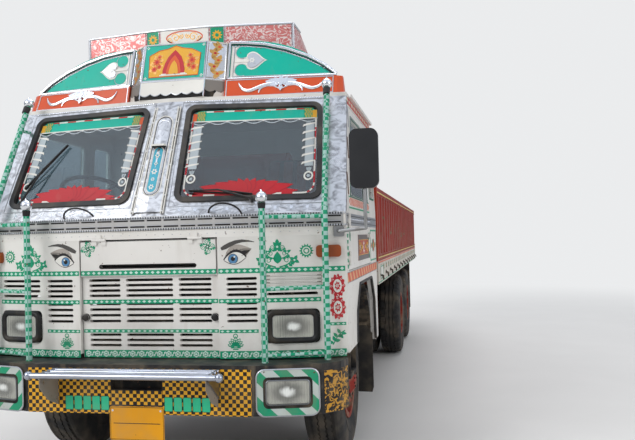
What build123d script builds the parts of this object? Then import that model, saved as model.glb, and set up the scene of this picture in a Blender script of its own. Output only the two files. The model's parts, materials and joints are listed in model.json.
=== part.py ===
"""A decorated forward-control cargo truck on three axles.

Millimetres.  The truck faces -Y, its left side is at +X and Z = 0 is the road.
Y = 0 is halfway along it.
"""
import os
from math import cos, radians, sin
from build123d import *

os.makedirs("parts", exist_ok=True)

# Overall places along the truck
nose = -4100.0              # front plane of the grille hatch
tail = 4500.0               # back face of the rear bumper
front_axle_y = nose + 1030
rear_axle_gap = 1380.0
first_rear_y = nose + 5380
rear_axle_ys = (first_rear_y, first_rear_y + rear_axle_gap)
clearance = 0.3             # running fit on each side of a shaft
door_gap = 6.0              # gap all round a door or the tailgate
hatch_gap = 5.0

# Wheels
tyre_r = 525.0
tyre_half = 137.0
rim_r = 258.0
twin_offset = 160.0         # half the spacing of two twin tyres
front_track_half = 962.0
rear_track_half = 1183.0 - tyre_half - twin_offset
stub_r = 42.0
kingpin_x = 790.0

# Chassis
rail_out = 430.0
rail_flange = 75.0
rail_wall = 12.0
rail_bottom = 790.0
rail_top = 1040.0
rail_front = nose + 60
jaw_bore = 20.0             # radius of the towing pin's hole in the rear jaw
rail_rear = tail - 130
gearbox_rear = nose + 1420
shaft_bearing = nose + 3300
bogie_y = sum(rear_axle_ys) / 2
crossmember_half = 40.0
crossmember_ys = (nose + 130, nose + 1480, nose + 2250, shaft_bearing, nose + 4400, nose + 5300, bogie_y,
                  (bogie_y + rail_rear) / 2, rail_rear - 90)
spring_x = (358.0, 428.0)
leaf = 15.0
leaves = 6

# Cab shell
cab_half = 1216.0           # half width at the waist
cab_top_half = 1180.0       # half width at the roof
front_wall = 35.0
side_wall = 40.0
hatch_half = 447.0
sweep_back = 136.0          # how far the front corner lies behind the hatch
front_bottom = 872.0
hatch_bottom = 850.0
waist_z = 1580.0            # top of the front panels and of the hatch
waist_strip = (1630.0, 1714.0)
strip_proud = 6.0
sill_z = 1715.0             # where the windscreen surround starts to lean
ledge_plate = 15.0
lean_z = 1760.0
roof_z = 2500.0
roof_plate = 25.0
cab_rear = nose + 1880
floor_z = 1250.0
floor_plate = 25.0
back_wall = 40.0
side_bottom = 860.0
inner_half = cab_half - side_wall
arch_z = 1240.0
door_bottom = 1350.0
door_top = 2440.0
door_rear = nose + 1440
door_pillar = 72.0          # width of the pillar ahead of the door
window_frame = 80.0
window_bottom = 1835.0
glass = 6.0

# Hinges of the hatch, the doors and the tailgate
barrel_r = 9.0
barrel_w = 30.0
leaf_reach = 32.0
pin_r = 5.0
hatch_hinges = (-315.0, 315.0)
door_hinges = (1430.0, 1660.0)
gate_hinges = (-800.0, 0.0, 800.0)
x_way = Vector(1, 0, 0)
y_way = Vector(0, 1, 0)
z_way = Vector(0, 0, 1)

# Load body
body_half = cab_half + 4
body_front = nose + 1985
body_rear = tail - 40
bed_top = 1245.0
bed_plate = 30.0
bearer_depth = 75.0
bearer_z = (bed_top - bed_plate - bearer_depth, bed_top - bed_plate)
board_top = 1340.0
side_top = 1985.0
headboard_top = 2450.0
headboard_depth = 55.0


def block(x, y, z, mode=Mode.ADD):
    """A box between three pairs of coordinates."""
    with Locations((sum(x) / 2, sum(y) / 2, sum(z) / 2)):
        Box(x[1] - x[0], y[1] - y[0], z[1] - z[0], mode=mode)


def outline_face(plane, points, radius=0.0):
    """A closed straight-sided face on a plane, its corners rounded if asked."""
    with BuildSketch(plane) as sketch:
        with BuildLine():
            Polyline(*points, close=True)
        make_face()
        if radius:
            fillet(sketch.vertices(), radius)
    return sketch.sketch


def across(points, x, mode=Mode.ADD, radius=0.0):
    """A (y, z) outline as a solid between two x values."""
    extrude(outline_face(Plane.YZ.offset(x[0]), points, radius), amount=x[1] - x[0], mode=mode)


def upright(points, y, mode=Mode.ADD, radius=0.0):
    """An (x, z) outline as a solid between two y values."""
    extrude(outline_face(Plane.XZ.offset(-y[1]), points, radius), amount=y[1] - y[0], mode=mode)


def flat(points, z, mode=Mode.ADD, radius=0.0):
    """An (x, y) outline as a solid between two z values."""
    extrude(outline_face(Plane.XY.offset(z[0]), points, radius), amount=z[1] - z[0], mode=mode)


def rod(start, end, radius, mode=Mode.ADD):
    """A round bar from one point to another."""
    direction = Vector(*end) - Vector(*start)
    with BuildSketch(Plane(origin=start, z_dir=direction)) as section:
        Circle(radius)
    extrude(section.sketch, amount=direction.length, mode=mode)


def ball(centre, radius):
    """A sphere at a point."""
    with Locations(centre):
        Sphere(radius)


def hinge(point, along, leaf_way, inward, places, moving):
    """One side of a hinge whose axis runs beside a surface.

    Leaves reach from the axis in `leaf_way`, on the surface that lies `inward` of it.  The moving side
    carries the pins and has a barrel on each side of the fixed one.
    """
    sign = along.cross(leaf_way).dot(inward)
    half = barrel_w / 2
    for place in places:
        spans = [(place - half, place + half)]
        if moving:
            spans = [(place - 3 * half, place - half - clearance), (place + half + clearance, place + 3 * half)]
        for start, end in spans:
            with BuildSketch(Plane(origin=point + along * start, x_dir=leaf_way, z_dir=along)) as section:
                Circle(barrel_r)
                with Locations((leaf_reach / 2, sign * barrel_r / 2)):
                    Rectangle(leaf_reach, barrel_r)
                if not moving:
                    Circle(pin_r + clearance, mode=Mode.SUBTRACT)
            extrude(section.sketch, amount=end - start)
        if moving:
            rod(tuple(point + along * (place - 3 * half)), tuple(point + along * (place + 3 * half)), pin_r)


def rect(y, z):
    """The four corners of a rectangle from two pairs of coordinates."""
    return [(y[0], z[0]), (y[1], z[0]), (y[1], z[1]), (y[0], z[1])]


def save(builder, name):
    """Label a finished piece and write its file."""
    builder.part.label = name
    export_step(builder.part, f"parts/{name}.step")


# Shape of the front in plan: flat across the hatch, then swept back to the corner
plan_steps = (0.0, 0.25, 0.5, 0.75, 1.0)


hatch_axis = Vector(0, nose - barrel_r, waist_z - 2)


def front_y(x):
    """Front surface below the waist at a place across the truck."""
    t = max(0.0, (abs(x) - hatch_half) / (cab_half - hatch_half))
    return nose + sweep_back * t**1.6


corner_x = hatch_half + (cab_half - hatch_half) * plan_steps[-2]
corner_slope = (nose + sweep_back - front_y(corner_x)) / (cab_half - corner_x)

# Windscreen pane on the left, by its corners at the outside of its rubber
pane_low_in = Vector(150, nose + 62, 1800)
pane_low_out = Vector(cab_half - 148, nose + 179, 1800)
pane_top_in = Vector(128, nose + 411, 2466)
pane_top_out = Vector(cab_top_half - 149, nose + 505, 2466)
pane_corner_r = 70.0
rubber_width = 34.0


pane_x = pane_low_out - pane_low_in
pane_plane = Plane(origin=pane_low_in, x_dir=pane_x, z_dir=pane_x.cross(pane_top_in - pane_low_in))
surround_wall = front_wall / abs(pane_plane.z_dir.Y)    # thickness of the leaning wall, measured along Y


def surround_y(x, z):
    """Front surface of the windscreen surround, two flat halves in a shallow V."""
    normal = pane_plane.z_dir
    run = normal.X * (abs(x) - pane_low_in.X) + normal.Z * (z - pane_low_in.Z)
    return pane_low_in.Y - run / normal.Y


def cab_edge(z):
    """Half width of the cab at a height."""
    t = max(0.0, (z - lean_z) / (roof_z - lean_z))
    return cab_half + (cab_top_half - cab_half) * t


def corner_y(x):
    """Surface of the last straight stretch of the swept panels, next to the corner."""
    return nose + sweep_back - corner_slope * (cab_half - abs(x))


def corner_plane(x, z):
    """A plane on that stretch, facing out."""
    return Plane(origin=(x, corner_y(x), z), x_dir=(1, corner_slope, 0), z_dir=(corner_slope, -1, 0))


def plan_edge(back):
    """Plan line of the band under the windscreens, shifted back."""
    rights = [hatch_half + (cab_half - hatch_half) * t for t in plan_steps]
    return [(x, front_y(x) + back) for x in [-x for x in reversed(rights)] + rights]


def side_front(z):
    """Front edge of the cab's side wall at a height."""
    if z <= sill_z:
        return nose + sweep_back + front_wall
    return surround_y(cab_edge(z), z) + surround_wall


def bent_wall(outer_offset, thickness, z):
    """Section (x, z) of the left wall: upright below, leaning in above the waist."""
    heights = (z[0], lean_z, z[1]) if z[0] < lean_z else z
    outer = [(cab_edge(h) - outer_offset, h) for h in heights]
    inner = [(x - thickness, h) for x, h in reversed(outer)]
    return outer + inner


# Chassis frame: two channel rails with bumper horns
with BuildPart() as chassis_frame:
    for side in (-1, 1):
        xs = sorted((side * rail_out, side * (rail_out - rail_flange)))
        hollow = sorted((side * (rail_out - rail_wall), side * (rail_out - rail_flange)))
        block(xs, (rail_front, rail_rear), (rail_bottom, rail_top))
        block(hollow, (rail_front, rail_rear), (rail_bottom + rail_wall, rail_top - rail_wall),
              mode=Mode.SUBTRACT)
        horn = [(nose - 154, 620), (nose + 300, 740), (nose + 300, 1000), (nose + 75, 1000),
                (nose + 75, 836), (nose - 154, 836)]
        across(horn, sorted((side * rail_out, side * (rail_out + rail_wall))))
save(chassis_frame, "chassis_frame")

# Between and on the rails: cross members, towing jaw, cab feet and the load bed's runners
cab_feet_ys = (nose + 260, nose + 1740)
with BuildPart() as subframe:
    for y in crossmember_ys:
        block((-rail_out + rail_wall, rail_out - rail_wall), (y - crossmember_half, y + crossmember_half),
              (rail_top - 150, rail_top - 2 * rail_wall))
    jaw_y = crossmember_ys[-1] + crossmember_half
    block((-60, 60), (jaw_y, jaw_y + 140), (rail_top - 150, rail_top - 2 * rail_wall))
    block((-60, 60), (jaw_y + 40, jaw_y + 140), (rail_top - 115, rail_top - 60), mode=Mode.SUBTRACT)
    rod((0, jaw_y + 100, rail_bottom), (0, jaw_y + 100, rail_top + 50), jaw_bore, mode=Mode.SUBTRACT)
    for side in (-1, 1):
        for y in cab_feet_ys:
            block(sorted((side * (rail_out - 60), side * rail_out)), (y, y + 70), (rail_top, floor_z))
        block(sorted((side * (rail_out - rail_flange), side * rail_out)), (body_front + 40, rail_rear),
              (rail_top, bearer_z[0]))
save(subframe, "subframe")

# Engine and gearbox as one plain block, on feet over the rails, and the radiator ahead of it
with BuildPart() as engine_block:
    block((-280, 280), (nose + 330, nose + 1240), (640, 1480))
    across([(nose + 1240, 700), (gearbox_rear, 740), (gearbox_rear, 1000), (nose + 1240, 1100)], (-170, 170))
    for y in (nose + 450, nose + 1100):
        block((-rail_out, rail_out), (y, y + 90), (rail_top, rail_top + 40))
    block((-330, 330), (nose + 110, nose + 170), (rail_top, 1500))
    for z in (rail_top, 1440):
        block((-345, 345), (nose + 95, nose + 185), (z, z + 60))
    for side in (-1, 1):
        block(sorted((side * 345, side * rail_out)), (nose + 110, nose + 170), (rail_top, rail_top + 60))
save(engine_block, "engine_block")

# Leaf springs: long leaf uppermost at the front, lowermost at the rear
spring_z = rail_bottom - 90
seat_z = spring_z - leaf * leaves + leaf
saddle_z = tyre_r + 75
with BuildPart() as leaf_springs:
    for k in range(leaves):
        half = 640 - 85 * k
        block(spring_x, (front_axle_y - half, front_axle_y + half),
              (spring_z - leaf * k, spring_z - leaf * (k - 1)))
    for y in (front_axle_y - 640, front_axle_y + 580):
        block(spring_x, (y, y + 60), (spring_z + leaf, rail_bottom))
    for k in range(leaves):
        half = rear_axle_gap / 2 + 60 - 95 * k
        block(spring_x, (bogie_y - half, bogie_y + half), (saddle_z + leaf * k, saddle_z + leaf * (k + 1)))
    across([(bogie_y - 90, saddle_z + leaf * leaves), (bogie_y + 90, saddle_z + leaf * leaves),
            (bogie_y + 190, rail_bottom), (bogie_y - 190, rail_bottom)], spring_x)
    mirror(about=Plane.YZ)
save(leaf_springs, "leaf_springs")

# Front axle: dropped beam with kingpin bosses and spring seats
with BuildPart() as front_axle:
    beam = [(0, 420), (430, 420), (600, 470), (kingpin_x, 480), (kingpin_x, 570), (590, 565),
            (430, 520), (0, 520)]
    upright(beam, (front_axle_y - 45, front_axle_y + 45))
    block(spring_x, (front_axle_y - 60, front_axle_y + 60), (500, seat_z))
    rod((kingpin_x, front_axle_y, 450), (kingpin_x, front_axle_y, 600), 34)
    mirror(about=Plane.YZ)
    for side in (-1, 1):
        rod((side * kingpin_x, front_axle_y, 440), (side * kingpin_x, front_axle_y, 610),
            18 + clearance, mode=Mode.SUBTRACT)
save(front_axle, "front_axle")

# Steering knuckles: a fork on the kingpin and the stub axle
for side, name in ((1, "left"), (-1, "right")):
    with BuildPart() as knuckle:
        axle = front_track_half
        rod((kingpin_x, front_axle_y, 408), (kingpin_x, front_axle_y, 640), 18)
        for z in ((408, 447), (603, 640)):
            with Locations((kingpin_x, front_axle_y, z[0])):
                Cylinder(42, z[1] - z[0], align=(Align.CENTER, Align.CENTER, Align.MIN))
            block((kingpin_x, kingpin_x + 66), (front_axle_y - 40, front_axle_y + 40), z)
        block((kingpin_x + 41, kingpin_x + 66), (front_axle_y - 40, front_axle_y + 40), (408, 640))
        rod((kingpin_x + 60, front_axle_y, tyre_r), (axle + 70, front_axle_y, tyre_r), stub_r)
        if side < 0:
            mirror(about=Plane.YZ, mode=Mode.REPLACE)
    save(knuckle, f"knuckle_{name}")

# Rear axles with their differentials, and the propeller shaft from the gearbox
with BuildPart() as rear_axles:
    for y in rear_axle_ys:
        rod((-rear_track_half + 90, y, tyre_r), (rear_track_half - 90, y, tyre_r), 60)
        rod((-rear_track_half - 85, y, tyre_r), (rear_track_half + 85, y, tyre_r), stub_r)
        with Locations((0, y, tyre_r)):
            Sphere(190)
        for side in (-1, 1):
            block(sorted((side * spring_x[0], side * spring_x[1])), (y - 60, y + 60), (tyre_r, saddle_z))
    rod((0, rear_axle_ys[0], tyre_r), (0, rear_axle_ys[1], tyre_r), 45)
    rod((0, gearbox_rear, 820), (0, gearbox_rear + 20, 820), 65)
    rod((0, gearbox_rear + 10, 820), (0, rear_axle_ys[0], tyre_r + 30), 45)
    block((-60, 60), (shaft_bearing - 30, shaft_bearing + 30), (640, rail_top - 150))
save(rear_axles, "rear_axles")

# Fuel tank with its straps, brackets and cap; the battery box and the silencer are opposite it
tank_y = (body_front + 265, body_front + 1515)
tank_x = (rail_out + 50, rail_out + 560)
tank_z = (600.0, 1000.0)
tank_corner = 90.0
strap = 6.0
with BuildPart() as fuel_tank:
    upright(rect(tank_x, tank_z), tank_y, radius=tank_corner)
    for y in (tank_y[0] + 150, tank_y[1] - 200):
        block((rail_out, tank_x[0] + 20), (y, y + 60), (rail_bottom + 20, rail_top - 60))
        upright(rect((tank_x[0] - strap, tank_x[1] + strap), (tank_z[0] - strap, tank_z[1] + strap)), (y + 10, y + 50),
                radius=tank_corner + strap)
    with Locations(((tank_x[0] + tank_x[1]) / 2, tank_y[0] + 90, tank_z[1] - 5)):
        Cylinder(45, 45, align=(Align.CENTER, Align.CENTER, Align.MIN))
save(fuel_tank, "fuel_tank")

with BuildPart() as battery_box:
    block((-rail_out - 470, -rail_out - 30), (tank_y[0], tank_y[0] + 700), (640, 980))
    block((-rail_out - 485, -rail_out - 15), (tank_y[0] - 15, tank_y[0] + 715), (980, 1000))
    for y in (tank_y[0] + 100, tank_y[0] + 540):
        block((-rail_out - 40, -rail_out), (y, y + 60), (rail_bottom + 20, 960))
save(battery_box, "battery_box")

with BuildPart() as silencer:
    silencer_y = (tank_y[0] + 1000, tank_y[0] + 1900)
    rod((-rail_out - 190, silencer_y[0], 820), (-rail_out - 190, silencer_y[1], 820), 120)
    rod((-rail_out - 190, silencer_y[1], 820), (-rail_out - 190, silencer_y[1] + 300, 820), 45)
    for y in (silencer_y[0] + 150, silencer_y[1] - 200):
        block((-rail_out - 100, -rail_out), (y, y + 40), (800, 860))
save(silencer, "silencer")

# Wheels: tyres and pressed rims, single at the front and twin at the rear
tyre_profile = ((95, rim_r), (128, 330), (tyre_half, 400), (128, 468), (104, 512), (50, tyre_r))


hand_holes = 8
hand_hole_r = 26.0
hand_hole_circle = 194.0


def wheel_face(centre, points):
    """A face of (x, radius) points on the plane through a wheel's axle."""
    plane = Plane(origin=centre, x_dir=(1, 0, 0), z_dir=(0, -1, 0))
    return outline_face(plane, points)


def add_tyre(centre):
    """One tyre about the axle through its centre."""
    outer = list(tyre_profile)
    points = outer + [(-x, r) for x, r in reversed(outer)]
    revolve(wheel_face(centre, points), axis=Axis(centre, (1, 0, 0)))


def add_rim(centre, face_x, way):
    """One rim with flanges; its dished disc is bolted up at face_x and opens out one way."""
    points = [(-122, 236), (122, 236), (122, rim_r + 14), (110, rim_r + 14), (95, rim_r), (-95, rim_r),
              (-110, rim_r + 14), (-122, rim_r + 14)]
    revolve(wheel_face(centre, points), axis=Axis(centre, (1, 0, 0)))
    dish = [(0, stub_r + clearance), (16, stub_r + clearance), (16, 150), (76, 240), (60, 240), (0, 158)]
    disc = [(face_x + way * x, r) for x, r in dish]
    revolve(wheel_face(centre, disc), axis=Axis(centre, (1, 0, 0)))


def cut_hand_holes(centre, x):
    """Round holes through a wheel's discs, between two x values."""
    for k in range(hand_holes):
        angle = radians(360 / hand_holes * k)
        y = centre[1] + hand_hole_circle * cos(angle)
        z = centre[2] + hand_hole_circle * sin(angle)
        rod((x[0], y, z), (x[1], y, z), hand_hole_r, mode=Mode.SUBTRACT)


def add_hub(centre, x, radius):
    """A hub sleeve with a closed outer end."""
    points = [(x[0], stub_r + clearance), (x[1] - 60, stub_r + clearance), (x[1] - 60, 0), (x[1], 0),
              (x[1], radius * 0.6), (x[1] - 30, radius), (x[0], radius)]
    revolve(wheel_face(centre, points), axis=Axis(centre, (1, 0, 0)))


for side, name in ((1, "left"), (-1, "right")):
    centre = (front_track_half, front_axle_y, tyre_r)
    with BuildPart() as front_tyre:
        add_tyre(centre)
        if side < 0:
            mirror(about=Plane.YZ, mode=Mode.REPLACE)
    save(front_tyre, f"front_tyre_{name}")
    with BuildPart() as front_rim:
        add_rim(centre, 130, -1)
        cut_hand_holes(centre, (front_track_half + 40, front_track_half + 150))
        add_hub(centre, (-60, 165), 105)
        if side < 0:
            mirror(about=Plane.YZ, mode=Mode.REPLACE)
    save(front_rim, f"front_rim_{name}")
    for axle_y, axle_name in zip(rear_axle_ys, ("middle", "rear")):
        pair = [(rear_track_half + step, axle_y, tyre_r) for step in (-twin_offset, twin_offset)]
        with BuildPart() as twin_tyres:
            for centre in pair:
                add_tyre(centre)
            if side < 0:
                mirror(about=Plane.YZ, mode=Mode.REPLACE)
        save(twin_tyres, f"{axle_name}_tyres_{name}")
        with BuildPart() as twin_rims:
            add_rim(pair[0], twin_offset, -1)
            add_rim(pair[1], -twin_offset, 1)
            cut_hand_holes(pair[0], (rear_track_half - 100, rear_track_half + 100))
            add_hub((rear_track_half, axle_y, tyre_r), (-70, 150), 115)
            if side < 0:
                mirror(about=Plane.YZ, mode=Mode.REPLACE)
        save(twin_rims, f"{axle_name}_rims_{name}")

# Front bumper: a swept band with a top plate and two lamp windows
bumper_z = (555.0, 842.0)
bumper_face = nose - 184
bumper_plan = ((714, bumper_face), (cab_half - 126, nose - 96), (cab_half - 26, nose), (cab_half, nose + 110))
bumper_wall = 30.0
lamp_frame_w = 364.0
lamp_frame_h = 270.0
lamp_glass_w = 262.0
lamp_glass_h = 146.0
lamp_depth = 60.0
lamp_slope = (bumper_plan[1][1] - bumper_plan[0][1]) / (bumper_plan[1][0] - bumper_plan[0][0])
lamp_plane = Plane(
    origin=(902, bumper_face + lamp_slope * (902 - 714), 688), x_dir=(1, lamp_slope, 0),
    z_dir=(lamp_slope, -1, 0))


def lamp_box(plane, width, height, depth, corner, mode=Mode.ADD):
    """A rounded block from a plane in front to one behind it."""
    with BuildSketch(plane.offset(depth[1])) as section:
        RectangleRounded(width, height, corner)
    extrude(section.sketch, amount=depth[0] - depth[1], mode=mode)


with BuildPart() as front_bumper:
    edge = [(0, bumper_face)] + list(bumper_plan)
    back = [(x - bumper_wall * (0 if x < 1000 else 1), y + bumper_wall) for x, y in reversed(edge)]
    flat(edge + back, bumper_z)
    flat(edge + [(cab_half - 36, nose + 118), (830, nose + 20), (0, nose + 20)], (bumper_z[1] - 6, bumper_z[1]))
    lamp_box(lamp_plane, lamp_frame_w, lamp_frame_h, (0, 14), 50)
    lamp_box(lamp_plane, lamp_frame_w - 60, lamp_frame_h - 60, (-lamp_depth - 12, 0), 30)
    lamp_box(lamp_plane, lamp_glass_w, lamp_glass_h, (-lamp_depth, 20), 20, mode=Mode.SUBTRACT)
    mirror(about=Plane.YZ)
    block((-160, 160), (bumper_face - 10, bumper_face + 40), (694, 750), mode=Mode.SUBTRACT)
save(front_bumper, "front_bumper")

# Rack of bright round bars on two gussets ahead of the bumper
rack_half = 574.0
rack_z = 810.0
with BuildPart() as bumper_rack:
    for y, half in ((nose - 375, rack_half), (nose - 318, 520), (nose - 262, 520), (nose - 212, 520)):
        rod((-half, y, rack_z), (half, y, rack_z), 14 if half < rack_half else 17)
    for side in (-1, 1):
        ball((side * rack_half, nose - 375, rack_z), 25)
        gusset = [(bumper_face, 650), (bumper_face, rack_z + 12), (nose - 385, rack_z + 12),
                  (nose - 385, rack_z - 12)]
        across(gusset, sorted((side * 500, side * 512)))
save(bumper_rack, "bumper_rack")

# Headlamps let into the swept panels
headlamp_x = 896.0
headlamp_slope = (front_y(headlamp_x + 100) - front_y(headlamp_x - 100)) / 200
headlamp_w = 326.0
headlamp_h = 204.0
headlamp_plane = Plane(origin=(headlamp_x, front_y(headlamp_x), 1037), x_dir=(1, headlamp_slope, 0),
                       z_dir=(headlamp_slope, -1, 0))
with BuildPart() as headlamp_bezels:
    lamp_box(headlamp_plane, headlamp_w, headlamp_h, (-75, 22), 30)
    lamp_box(headlamp_plane, headlamp_w - 84, headlamp_h - 74, (-60, 30), 14, mode=Mode.SUBTRACT)
    mirror(about=Plane.YZ)
save(headlamp_bezels, "headlamp_bezels")

with BuildPart() as lamp_lenses:
    lamp_box(headlamp_plane, headlamp_w - 84, headlamp_h - 74, (-10, 8), 14)
    lamp_box(lamp_plane, lamp_glass_w, lamp_glass_h, (-10, 8), 20)
    mirror(about=Plane.YZ)
save(lamp_lenses, "lamp_lenses")

# Swept front panels with rows of louvre slots, in columns beside the hatch
slot_h = 17.0
upper_rows = (1327, 1295, 1263, 1231)
middle_rows = (1180, 1145, 1109, 1073)
lower_rows = (988, 955, 923)
outer_column = (745, 1045)
pocket_x = (733, 800, 831.5, 900, 970, 1023.75, 1071)
pocket_rows = ((1281, 1296), (1301, 1317), (1322, 1338), (1343, 1359))
pocket_depth = 6.0
hatch_columns = ((-402, -192), (-155, 155), (192, 402))
slot_cut = (nose - 20, nose + 300)


def cut_slots(columns, rows, y):
    """Cut rows of slots through a wall between two y values."""
    for left, right in columns:
        for z in rows:
            with BuildSketch(Plane.XZ.offset(-y[1])) as slots:
                with Locations(((left + right) / 2, z)):
                    SlotOverall(right - left, slot_h)
            extrude(slots.sketch, amount=y[1] - y[0], mode=Mode.SUBTRACT)


with BuildPart() as front_panels:
    skin = [(x, y) for x, y in plan_edge(0) if x > hatch_half]
    skin = [(hatch_half + hatch_gap, nose), *skin]
    flat(skin + [(x, y + front_wall) for x, y in reversed(skin)], (front_bottom, waist_z))
    lamp_box(headlamp_plane, headlamp_w, headlamp_h, (-120, 60), 30, mode=Mode.SUBTRACT)
    cut_slots(((503, 688),), upper_rows + middle_rows, slot_cut)
    mirror(about=Plane.YZ)
    cut_slots((outer_column,), upper_rows[-1:], slot_cut)
    cut_slots(((-outer_column[1], -outer_column[0]),), upper_rows, slot_cut)
    pocket = [(x, front_y(x) - 20) for x in pocket_x] + [(x, front_y(x) + pocket_depth) for x in reversed(pocket_x)]
    for z in pocket_rows:
        flat(pocket, z, mode=Mode.SUBTRACT)
save(front_panels, "front_panels")

# Hinged hatch: a plain upper panel and a grille stepped back below it
step_back = 25.0
step_z = 1345.0
with BuildPart() as front_hatch:
    profile = [(nose, waist_z - 8), (nose + 35, waist_z - 8), (nose + 35, step_z + 25),
               (nose + step_back + 35, step_z), (nose + step_back + 35, hatch_bottom),
               (nose + step_back, hatch_bottom), (nose + step_back, step_z), (nose, step_z + 12)]
    across(profile, (-hatch_half, hatch_half))
    cut_slots(hatch_columns, upper_rows + middle_rows + lower_rows, (nose - 20, nose + 120))
    cut_slots(((-317, 317),), (1413,), (nose - 20, nose + 120))
    for side in (-1, 1):
        rod((side * 424, nose + step_back, 1097), (side * 424, nose + step_back - 16, 1097), 23)
    hinge(hatch_axis, x_way, -z_way, y_way, hatch_hinges, moving=True)
save(front_hatch, "front_hatch")

# Front wall of the cab: band under the windscreens, leaning surround with two openings
def pane_points():
    """Corners of the left pane on its own plane."""
    corners = (pane_low_in, pane_low_out, pane_top_out, pane_top_in)
    return [(p.X, p.Y) for p in (pane_plane.to_local_coords(c) for c in corners)]


def pane_solid(inset, depth, corner, mode=Mode.ADD):
    """The pane's outline, drawn in by `inset`, as a solid between two depths behind its face."""
    with BuildSketch(pane_plane.offset(depth[1])) as outline:
        with BuildLine():
            Polyline(*pane_points(), close=True)
        make_face()
        fillet(outline.vertices(), corner)
        if inset:
            offset(amount=-inset, mode=Mode.REPLACE)
    extrude(outline.sketch, amount=depth[0] - depth[1], mode=mode)


def ruled(low, low_z, top, top_z):
    """A straight-sided solid between two plan outlines."""
    faces = [outline_face(Plane.XY.offset(z), points).face() for z, points in ((low_z, low), (top_z, top))]
    loft(faces, ruled=True)


# Raised post between the windscreens, by its half widths at two heights
post_edge = ((103, 1745), (83, 2440))
post_proud = 12.0
with BuildPart() as centre_post:
    with BuildSketch(pane_plane) as slab:
        with Locations((0, 300)):
            Rectangle(800, 1400)
    extrude(slab.sketch, amount=post_proud)
    upright([(0, post_edge[0][1]), *post_edge, (0, post_edge[1][1])], (nose - 500, nose + 1500), mode=Mode.INTERSECT)

with BuildPart() as cab_front:
    half = [(0, sill_z), (cab_half, sill_z), (cab_half, lean_z), (cab_top_half, roof_z), (0, roof_z)]
    with BuildSketch(pane_plane) as slab:
        with Locations((500, 300)):
            Rectangle(2000, 1400)
    extrude(slab.sketch, amount=-front_wall)
    upright(half, (nose - 500, nose + 1500), mode=Mode.INTERSECT)
    pane_solid(0, (-90, 90), pane_corner_r, mode=Mode.SUBTRACT)
    add(centre_post.part)
    mirror(about=Plane.YZ)
    flat(plan_edge(0) + plan_edge(front_wall)[::-1], (waist_z, sill_z))
    flat(plan_edge(-strip_proud) + plan_edge(0)[::-1], waist_strip)
    ledge = [(x, surround_y(x, sill_z) + surround_wall) for x in (inner_half, 0, -inner_half)]
    ledge = [(inner_half, side_front(sill_z)), *ledge, (-inner_half, side_front(sill_z))]
    flat(plan_edge(0) + ledge, (sill_z - ledge_plate, sill_z))
    hinge(hatch_axis, x_way, z_way, y_way, hatch_hinges, moving=False)
save(cab_front, "cab_front")

with BuildPart() as windscreen_rubbers:
    pane_solid(0, (-30, 12), pane_corner_r)
    pane_solid(rubber_width, (-90, 90), pane_corner_r, mode=Mode.SUBTRACT)
    mirror(about=Plane.YZ)
save(windscreen_rubbers, "windscreen_rubbers")

# Cab sides with arch, door opening and rear quarter window
quarter = (nose + 1515, nose + 1790)
quarter_z = (1870, 2370)


door_axis = Vector(cab_half + barrel_r, side_front(sill_z) + door_pillar + door_gap / 2, 0)


def door_outline(gap):
    """Outline of the door opening, drawn in by a gap."""
    fronts = [(side_front(z) + door_pillar + gap, z)
              for z in (door_top - gap, lean_z, sill_z + 1, sill_z, door_bottom + gap)]
    return fronts + [(door_rear - gap, door_bottom + gap), (door_rear - gap, door_top - gap)]


def door_window():
    """Outline of the window in the door."""
    top = door_top - window_frame
    front = door_pillar + window_frame
    return [(side_front(top) + front, top), (side_front(window_bottom) + front, window_bottom),
            (door_rear - window_frame, window_bottom), (door_rear - window_frame, top)]


arch_front = nose + 540
arch_rear = nose + 1640
post_bottom = 720.0
wall_z = (post_bottom, roof_z)
side_outline = [
    (side_front(side_bottom), side_bottom), (arch_front, side_bottom), (arch_front + 30, arch_z - 170),
    (arch_front + 190, arch_z), (arch_rear - 190, arch_z), (arch_rear, arch_z - 190),
    (arch_rear + 40, post_bottom), (cab_rear, post_bottom), (cab_rear, roof_z),
    (side_front(roof_z), roof_z), (side_front(lean_z), lean_z), (side_front(sill_z + 1), sill_z),
    (side_front(sill_z), sill_z)]
reach = (min(cab_half, cab_top_half) - 120, max(cab_half, cab_top_half) + 60)
handle_y = (door_rear - 210, door_rear - 90)
for side, name in ((1, "left"), (-1, "right")):
    with BuildPart() as cab_side:
        upright(bent_wall(0, side_wall, wall_z), (nose + 100, cab_rear))
        across(side_outline, reach, mode=Mode.INTERSECT)
        across(door_outline(0), reach, mode=Mode.SUBTRACT)
        across(rect(quarter, quarter_z), reach, mode=Mode.SUBTRACT, radius=40)
        hinge(door_axis, z_way, -y_way, -x_way, door_hinges, moving=False)
        if side < 0:
            mirror(about=Plane.YZ, mode=Mode.REPLACE)
    save(cab_side, f"cab_side_{name}")
    with BuildPart() as door:
        upright(bent_wall(0, side_wall, wall_z), (nose + 100, cab_rear))
        across(door_outline(door_gap), reach, mode=Mode.INTERSECT)
        across(door_window(), reach, mode=Mode.SUBTRACT, radius=45)
        hinge(door_axis, z_way, y_way, -x_way, door_hinges, moving=True)
        block((cab_half + 16, cab_half + 26), handle_y, (1552, 1576))
        for y in (handle_y[0], handle_y[1] - 20):
            block((cab_half - 5, cab_half + 16), (y, y + 20), (1552, 1576))
        if side < 0:
            mirror(about=Plane.YZ, mode=Mode.REPLACE)
    save(door, f"door_{name}")
    with BuildPart() as door_glass:
        upright(bent_wall(side_wall / 2 - glass / 2, glass, wall_z), (nose + 100, cab_rear))
        across(door_window(), reach, mode=Mode.INTERSECT, radius=45)
        if side < 0:
            mirror(about=Plane.YZ, mode=Mode.REPLACE)
    save(door_glass, f"door_glass_{name}")

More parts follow.
